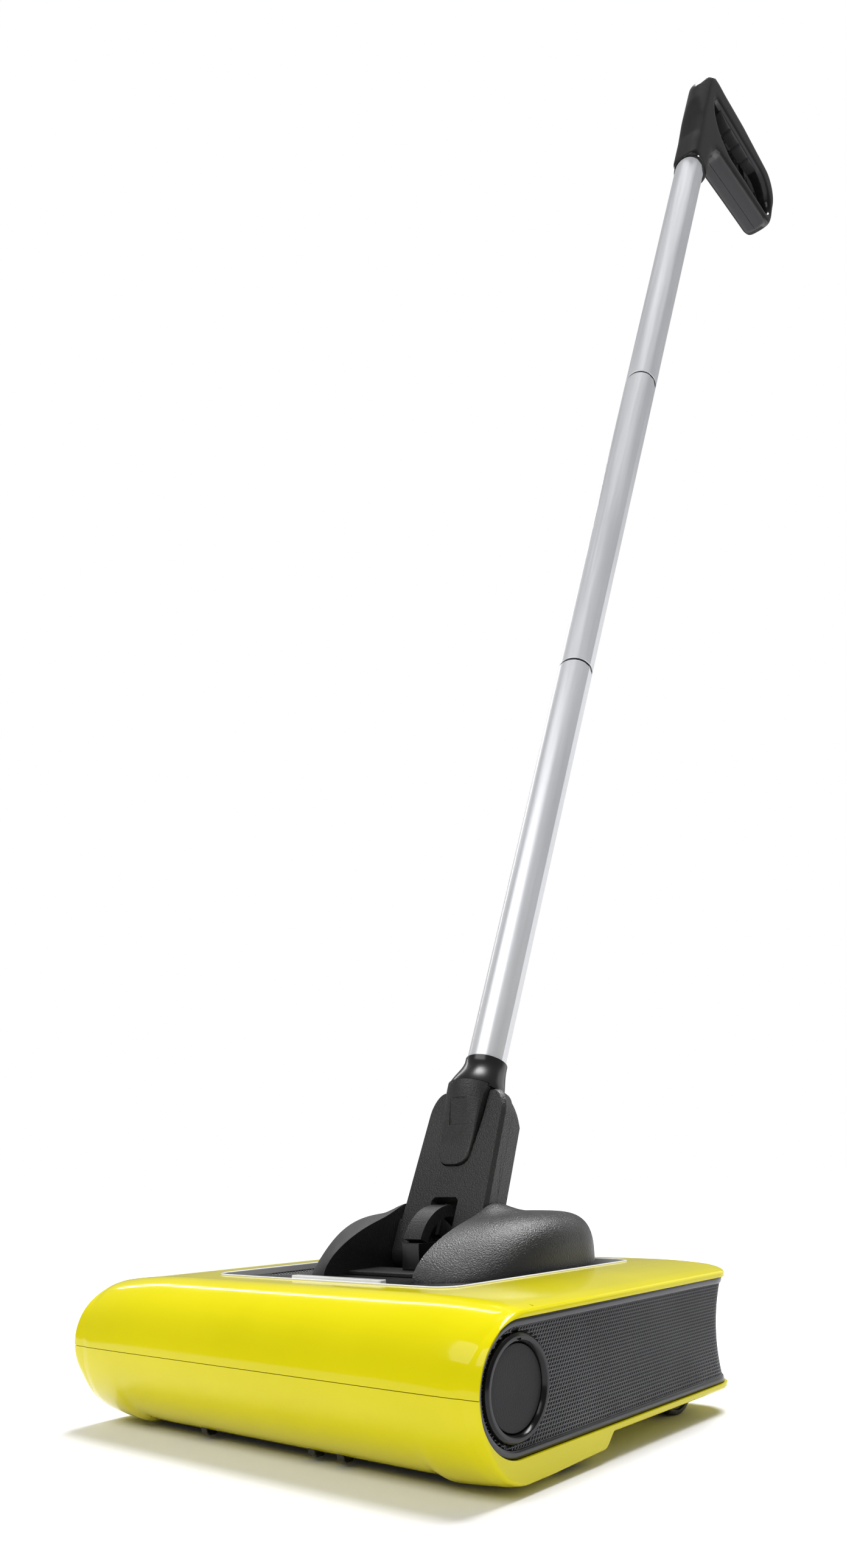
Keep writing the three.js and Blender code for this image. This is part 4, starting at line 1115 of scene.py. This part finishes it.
def collar():
    rings = []
    low, high = NECK_TOP + GAP, TUBE_BASE - GAP
    for i in range(21):
        share = smooth_step(i / 20, -0.1, 0.92)
        r, ahead = COLLAR_R + (12.4 - COLLAR_R) * share, COLLAR_AHEAD * (1 - share)
        rings.append([(x, y - ahead, low + (high - low) * i / 20) for x, y in arc(0, 0, r, 0, 356.25, 95)])
    body = loft("collar", rings, SMOOTH, upright)
    section = sleeve_profile(NECK_TOP + 3.6, NECK_TOP + 3.9, 30, COLLAR_R - 0.7)
    line = turned("line", section, (0, -COLLAR_AHEAD), SMOOTH, 64, "Z", upright)
    gap = layered("tongue_room", tongue_outline(0.4), "Y", [(-30, 0), (-4, 0)], SMOOTH)
    # A recess at the rear right of the collar shows the catch inside.
    catch = prism("catch", rounded_rect(4, 15, 104, 116, 3, 5), "Y", 9, 20, SMOOTH, upright)
    cut(body, line, gap, catch)
    soften(body, 0.2, 2, 40)
    finish_piece(body, "handle", "smooth_black", "tube_collar")


def tube_section(r):
    """Round at the front with flat facets behind."""
    corners = []
    for angle, share in ((87, 0.985), (124, 0.97), (158, 0.97)):
        a = radians(angle - 90)
        corners.append((r * share * cos(a), r * share * sin(a)))
    return arc(0, 0, r, -153, -27, 36) + corners + [(-x, y) for x, y in reversed(corners)]


def tubes():
    """The three tubes with a joint ring between each two. Returns the height of their upper end."""
    low = TUBE_BASE
    outer = tube_section(TUBE_R)
    inner = [(x * TUBE_BORE / TUBE_R, y * TUBE_BORE / TUBE_R) for x, y in outer]
    for n, (name, length) in enumerate(zip(TUBE_NAMES, TUBE_LENGTHS), 1):
        high = low + length
        section = ((low, inner), (low, outer), (high, outer), (high, inner), (low, inner))
        points = [(x, y, z) for z, ring in section for x, y in ring]
        tube = from_lists(name + "_sleeve", points, sheet_faces(5, len(outer), wrap=True), TUBE, upright)
        soften(tube, 0.25, 2, 8)
        finish_piece(tube, "handle", "tube_metal", name)
        low = high
        if n < len(TUBE_NAMES):
            section = sleeve_profile(low + 0.1, low + JOINT_RING + 0.5, PLUG_BORE, TUBE_R - 0.55)
            ring = turned(f"joint_ring_{name}", section, (0, 0), SMOOTH, 64, "Z", upright)
            section = sleeve_profile(low - PLUG_REACH, low + PLUG_REACH, PLUG_BORE, PLUG_R)
            plug = turned("plug", section, (0, 0), SMOOTH, 48, "Z", upright)
            combine(ring, [plug], "UNION")
            soften(ring, 0.15, 2, 40)
            finish_piece(ring, "handle", "smooth_black", f"tube_joint_{n}")
            low += JOINT_RING + 2 * GAP
    return low


collar()
GRIP_BASE = tubes() + GAP


# ---------- hand grip ----------
GRIP_HALF = 11
GRIP_LEVEL = GRIP_BASE + 9.6                # the heights of the grip's bars count from here
BAR_SLOPE, LOWER_SLOPE = atan2(31, 76), 41.5 / 87      # of the upper bar (an angle) and of the lower bar
PAD_FROM, PAD_LONG, PAD_HALF = 5, 72, 8.6
VOXEL, SMOOTHING = 0.8, 30
HALF_GROOVE = 0.12                          # the grip's shells stop this far from the middle


def raised(points):
    return [(y, GRIP_LEVEL + z) for y, z in points]


def grip_outline():
    line = [(-12.4, GRIP_BASE), (12.4, GRIP_BASE)]
    line += raised([(11.5, 14), (12.5, 25), (16.5, 33), (23, 38.5), (66, 59.3), (108, 79), (114, 84.5),
                    (117.3, 92), (118, 99), (117, 108)])
    line += raised(arc(97, 113, 20, 0, 110, 14))
    return line + raised([(44, 117.3), (10, 103.8), (-1, 100.2), (-8.5, 96.4), (-13.6, 89.5), (-15.8, 79),
                          (-15.6, 62), (-14, 40), (-12.6, 20)])


def grip_opening():
    return raised([(2, 70), (4, 65.6), (8, 61.8), (13, 59.4), (18, 58.4), (34, 59), (103, 89.5),
                   (106.6, 92.4), (108.5, 97), (108, 102), (105.5, 107), (101, 110.6), (95, 112.8), (89, 113),
                   (84, 112), (8, 81), (3.4, 78.5), (1.6, 75)])


def bar_point(t, off):
    """A point t mm along the underside of the upper bar and off mm below it, in (rearward, upward)."""
    c, s = cos(BAR_SLOPE), sin(BAR_SLOPE)
    return (8 + t * c + off * s, GRIP_LEVEL + 81 + t * s - off * c)


def grip():
    rounding = [(1, 5.2), (0.96, 3.3), (0.88, 1.8), (0.72, 0.7), (0.5, 0.15), (0, 0)]
    layers = [(-GRIP_HALF * part, inset) for part, inset in rounding]
    layers += [(-x, inset) for x, inset in reversed(layers[:-1])]
    body = layered("grip_body", grip_outline(), "X", layers, GLOSSY)
    round_plan = arc(0, -1.8, 14.2, 180 + 33, 360 - 33, 24)
    round_plan += [(GRIP_HALF + 0.9, 140), (-GRIP_HALF - 0.9, 140)]
    plan = prism("plan", round_plan, "Z", GRIP_BASE - 5, GRIP_BASE + 160, GLOSSY, upright)
    combine(body, [plan], "INTERSECT")
    wide = [(-20, -4)] + [(x, -0.7 * inset) for x, inset in layers] + [(20, -4)]
    cut(body, layered("opening", grip_opening(), "X", wide, GLOSSY))
    modifier(body, "REMESH", mode="VOXEL", voxel_size=VOXEL * MM, use_smooth_shade=True)
    modifier(body, "SMOOTH", factor=0.5, iterations=SMOOTHING)
    settle(body)
    # The foot of the stem is cut square to meet the tube, after the smoothing has rounded it.
    foot = prism("foot", rect(-30, 30, GRIP_BASE - 10, GRIP_BASE + 0.9), "X", -20, 20, GLOSSY, upright)
    cut(body, foot)
    sole = prism("sole", tube_section(TUBE_R + 0.7), "Z", GRIP_BASE, GRIP_BASE + 3, GLOSSY, upright)
    combine(body, [sole], "UNION")
    rise = 90 * LOWER_SLOPE
    seam = raised([(25, 34), (115, 34 + rise), (115, 40.9 + rise), (25, 40.9)])
    cut(body, prism("parting", seam, "X", -0.2, 0.2, GLOSSY, upright))
    return body


def split_grip(body):
    """The grip is two shells that meet in the middle."""
    for side, word in ((1, "right"), (-1, "left")):
        bm = bmesh.new()
        bm.from_mesh(body.data)
        slice_off(bm, place((side * HALF_GROOVE, 0, 0)), (-side, 0, 0))
        half = to_object(f"grip_shell_{word}", bm, GLOSSY)
        finish_piece(half, "handle", "smooth_black", f"grip_{word}")
    bpy.data.objects.remove(body)


def grip_pad():
    """A soft pad with three finger grooves on the underside of the upper bar."""
    rows = []
    for i in range(61):
        gone = PAD_LONG * i / 60
        t = PAD_FROM + gone
        swell = 2.0 * min(1, 4 * min(gone, PAD_LONG - gone) / PAD_LONG + 0.15)
        groove = sum(1.5 * exp(-((t - c) / 0.9) ** 2) for c in (24, 42, 60))
        ring = []
        for k in range(25):
            a = pi * k / 24
            off = max(0.1, swell * (0.5 + 0.5 * sin(a)) - groove * sin(a))
            ring.append((PAD_HALF * cos(a), *bar_point(t, off)))
        rows.append(ring + [(x, *bar_point(t, -3)) for x in (-PAD_HALF, PAD_HALF)])
    pad = loft("finger_pad", rows, RUBBER, upright)
    finish_piece(pad, "handle", "rubber", "grip_pad")


split_grip(grip())
grip_pad()


# ---------- wheels ----------
REAR_WHEEL, FRONT_WHEEL = (108, 84, 18, 14), (118, -38, 10, 14)      # x, y, radius, width
AXLE_BORE, TREAD_R, TYRE_THICK = 2.4, 1.5, 3


def wheel_profile(x, half, r, bore, grooves):
    """A rounded tread with grooves round it, closed through the bore."""
    outside = []
    for i in range(9):
        a = pi * i / 16
        outside.append((-half + TREAD_R - TREAD_R * cos(a), r - TREAD_R + TREAD_R * sin(a)))
    for c in grooves:
        outside += [(c - 0.9, r), (c - 0.6, r - 0.9), (c + 0.6, r - 0.9), (c + 0.9, r)]
    outside += [(-t, q) for t, q in reversed(outside[:9])]
    section = [(-half, bore)] + outside + [(half, bore), (-half, bore)]
    return [(x + t, q) for t, q in section]


def wheel_hub(name, x, y, z, r, half, mat):
    """A rim and a dished web with round holes, on a hub."""
    web, hub_r, rim_r = 1.2, 5.2, r - 3.6
    one = [(half, r), (half, r - 2.8), (web, rim_r), (web, hub_r), (half, 4.6), (half, AXLE_BORE)]
    section = [(-t, q) for t, q in reversed(one)] + one + [(-half, AXLE_BORE)]
    hub = turned(name, [(x + t, q) for t, q in section], (y, z), mat)
    mid = (hub_r + rim_r) / 2
    holes = [turned("hole", [(x - 4, 1.9), (x + 4, 1.9)], (y + mid * cos(a), z + mid * sin(a)), mat, 24)
             for a in (2 * pi * k / 5 for k in range(5))]
    cut(hub, *holes)
    return soften(hub, 0.25, 2, 40)


def wheels():
    for word, side in (("right", 1), ("left", -1)):
        x, y, r, w = REAR_WHEEL
        z = GROUND + r
        profile_of_tyre = wheel_profile(side * x, w / 2, r, r - TYRE_THICK + GAP, (-3, 0, 3))
        tyre = turned(f"tread_{word}", profile_of_tyre, (y, z), RUBBER, 96)
        soften(tyre, 0.15, 2, 40)
        finish_piece(tyre, f"rear_{word}_wheel", "rubber", f"rear_{word}_tyre")
        hub = wheel_hub(f"rear_hub_{word}", side * x, y, z, r - TYRE_THICK, w / 2 - 1, SMOOTH)
        finish_piece(hub, f"rear_{word}_wheel", "smooth_black", f"rear_{word}_wheel")
        x, y, r, w = FRONT_WHEEL
        tread = wheel_profile(side * x, w / 2 - 1, r, AXLE_BORE, (-2.5, 2.5))
        roller = turned(f"roller_{word}", tread, (y, GROUND + r), SMOOTH, 72)
        soften(roller, 0.15, 2, 40)
        finish_piece(roller, f"front_{word}_wheel", "smooth_black", f"front_{word}_wheel")


wheels()


# ---------- brush ----------
def bristle_row(row):
    """Tufts of nylon that wind half a turn along the core. Each tuft is a bundle of tapering strands."""
    points, faces = [], []
    tufts, strands = 34, 7
    length = 2 * BRUSH_HALF - 6
    tufts, strands = 34, 7
    length = 2 * BRUSH_HALF - 6
    for i in range(tufts):
        x = -length / 2 + length * i / (tufts - 1)
        turn = row * pi / 2 + pi * (x + length / 2) / length
        for k in range(strands):
            spread = 2 * pi * k / (strands - 1)
            first = len(points)
            for r, wide, fan in ((BRUSH_CORE - 0.5, 0.34, 0.55), (BRUSH_TIP - 0.3, 0.26, 1.45)):
                fan = fan if k else 0      # the first strand stands in the middle
                a = turn + fan * sin(spread) / r
                cy, cz = BRUSH_Y - r * sin(a), BRUSH_Z + r * cos(a)
                for u, v in arc(0, 0, wide, 0, 270, 3):
                    points.append((x + fan * cos(spread) + u, cy - cos(a) * v, cz - sin(a) * v))
            faces += sheet_faces(2, 4, first, wrap=True)
            faces += [(first + 3, first + 2, first + 1, first), (first + 4, first + 5, first + 6, first + 7)]
    strip = from_lists(f"bristle_tufts_{row + 1}", points, faces, BRISTLE)
    finish_piece(strip, "brush", "bristle", f"bristle_row_{row + 1}")


for row in range(4):
    bristle_row(row)


# ---------- small parts under the nose ----------
def floor_guides():
    """Three short skids behind the front lip keep it off the carpet."""
    outline = [(-92.5, 6), (-88.4, 6), (-84.9, 1.4), (-84.9, 0.6), (-86, -0.8), (-90, -0.8), (-91.6, 0.6)]
    guides = [settle(soften(prism("guide", outline, "X", x - 2.2, x + 2.2, SMOOTH), 0.5, 3, 40))
              for x in (-52, 23, 41)]
    finish_piece(join_pieces("floor_guides", guides), "head", "smooth_black")


floor_guides()


# ---------- CAD nodes that stay as they are ----------
NODE_MATERIALS = {
    STEEL: ("brush_bearing_right", "brush_bearing_left", "motor", "motor_rotor", "pivot_pin",
            *(f"{end}_{word}_axle" for end in ("rear", "front") for word in ("right", "left")),
            *(f"shell_screw_{n}" for n in (1, 2, 3, 4))),
    SMOOTH: ("charge_socket", "chassis", "brush_core", "brush_pulley", "motor_bracket", "grip_plug"),
    RUBBER: ("sweep_lip", "drive_belt"),
    TANK: ("dust_container",),
    WRAP: ("battery_pack",),
    BOARD: ("circuit_board",),
}
for mat, names in NODE_MATERIALS.items():
    for name in names:
        node = frame["nodes"][name]
        node.data.materials.clear()
        node.data.materials.append(mat)
        modifier(node, "BEVEL", width=0.25 * MM, segments=2, limit_method="ANGLE", angle_limit=radians(40))


# ---------- stage ----------
ROOM_LIGHT = 0.22
FLOOR_REACH, FLOOR_THICK = 9000, 20


def make_stage():
    floor = prism("floor", rect(-FLOOR_REACH, FLOOR_REACH, -FLOOR_REACH, FLOOR_REACH), "Z",
                  GROUND - FLOOR_THICK, GROUND, BADGE_WHITE_AND_RIM_HIGHLIGHT)
    mat, _, shader = new_material("pale_floor")
    shader.inputs["Base Color"].default_value = (0.88, 0.88, 0.92, 1)
    shader.inputs["Roughness"].default_value = 0.75
    shader.inputs["Specular IOR Level"].default_value = 0
    floor.data.materials[0] = mat
    world = bpy.data.worlds.new("studio")
    bpy.context.scene.world = world
    world.use_nodes = True
    tree = world.node_tree
    backdrop = tree.nodes["Background"]
    backdrop.inputs["Color"].default_value = (1, 1, 1, 1)
    backdrop.inputs["Strength"].default_value = 1.0
    # The object is lit by a dimmer room than the white one that shows behind it.
    room = add_node(tree, "ShaderNodeBackground", Color=(1, 1, 1, 1), Strength=ROOM_LIGHT)
    path = tree.nodes.new("ShaderNodeLightPath")
    mix = tree.nodes.new("ShaderNodeMixShader")
    tree.links.new(path.outputs["Is Camera Ray"], mix.inputs["Fac"])
    tree.links.new(room.outputs["Background"], mix.inputs[1])
    tree.links.new(backdrop.outputs["Background"], mix.inputs[2])
    tree.links.new(mix.outputs["Shader"], tree.nodes["World Output"].inputs["Surface"])


def lamp(name, kind, facing):
    obj = link(name, bpy.data.lights.new(name, kind))
    obj.rotation_mode = "QUATERNION"
    obj.rotation_quaternion = Vector(facing).to_track_quat("-Z", "Y")
    return obj


def area_light(name, spot, facing, width, height, brightness):
    """A soft box whose width lies level. Only its light is seen, not the box."""
    obj = lamp(name, "AREA", facing)
    obj.data.shape, obj.data.size, obj.data.size_y = "RECTANGLE", width, height
    obj.data.energy = brightness * pi * width * height
    obj.location = place(spot)
    obj.visible_camera = False


def sun(name, facing, strength, spread):
    data = lamp(name, "SUN", facing).data
    data.energy, data.angle = strength, radians(spread)


make_stage()
sun("overhead", (0.05, -0.4, -1), 3.9, 30)
area_light("edge_strip", (-1250, 560, 1000), (0, -0.5, -0.87), 1.7, 0.1, 8)
area_light("front_box", (-200, -1500, 1900), (0, 0.7, -0.75), 2.2, 1.2, 3.2)
area_light("back_panel", (500, 2200, 700), (-0.2, -1, 0), 1.6, 1.6, 0.8)
bpy.context.scene.view_settings.view_transform = "Standard"
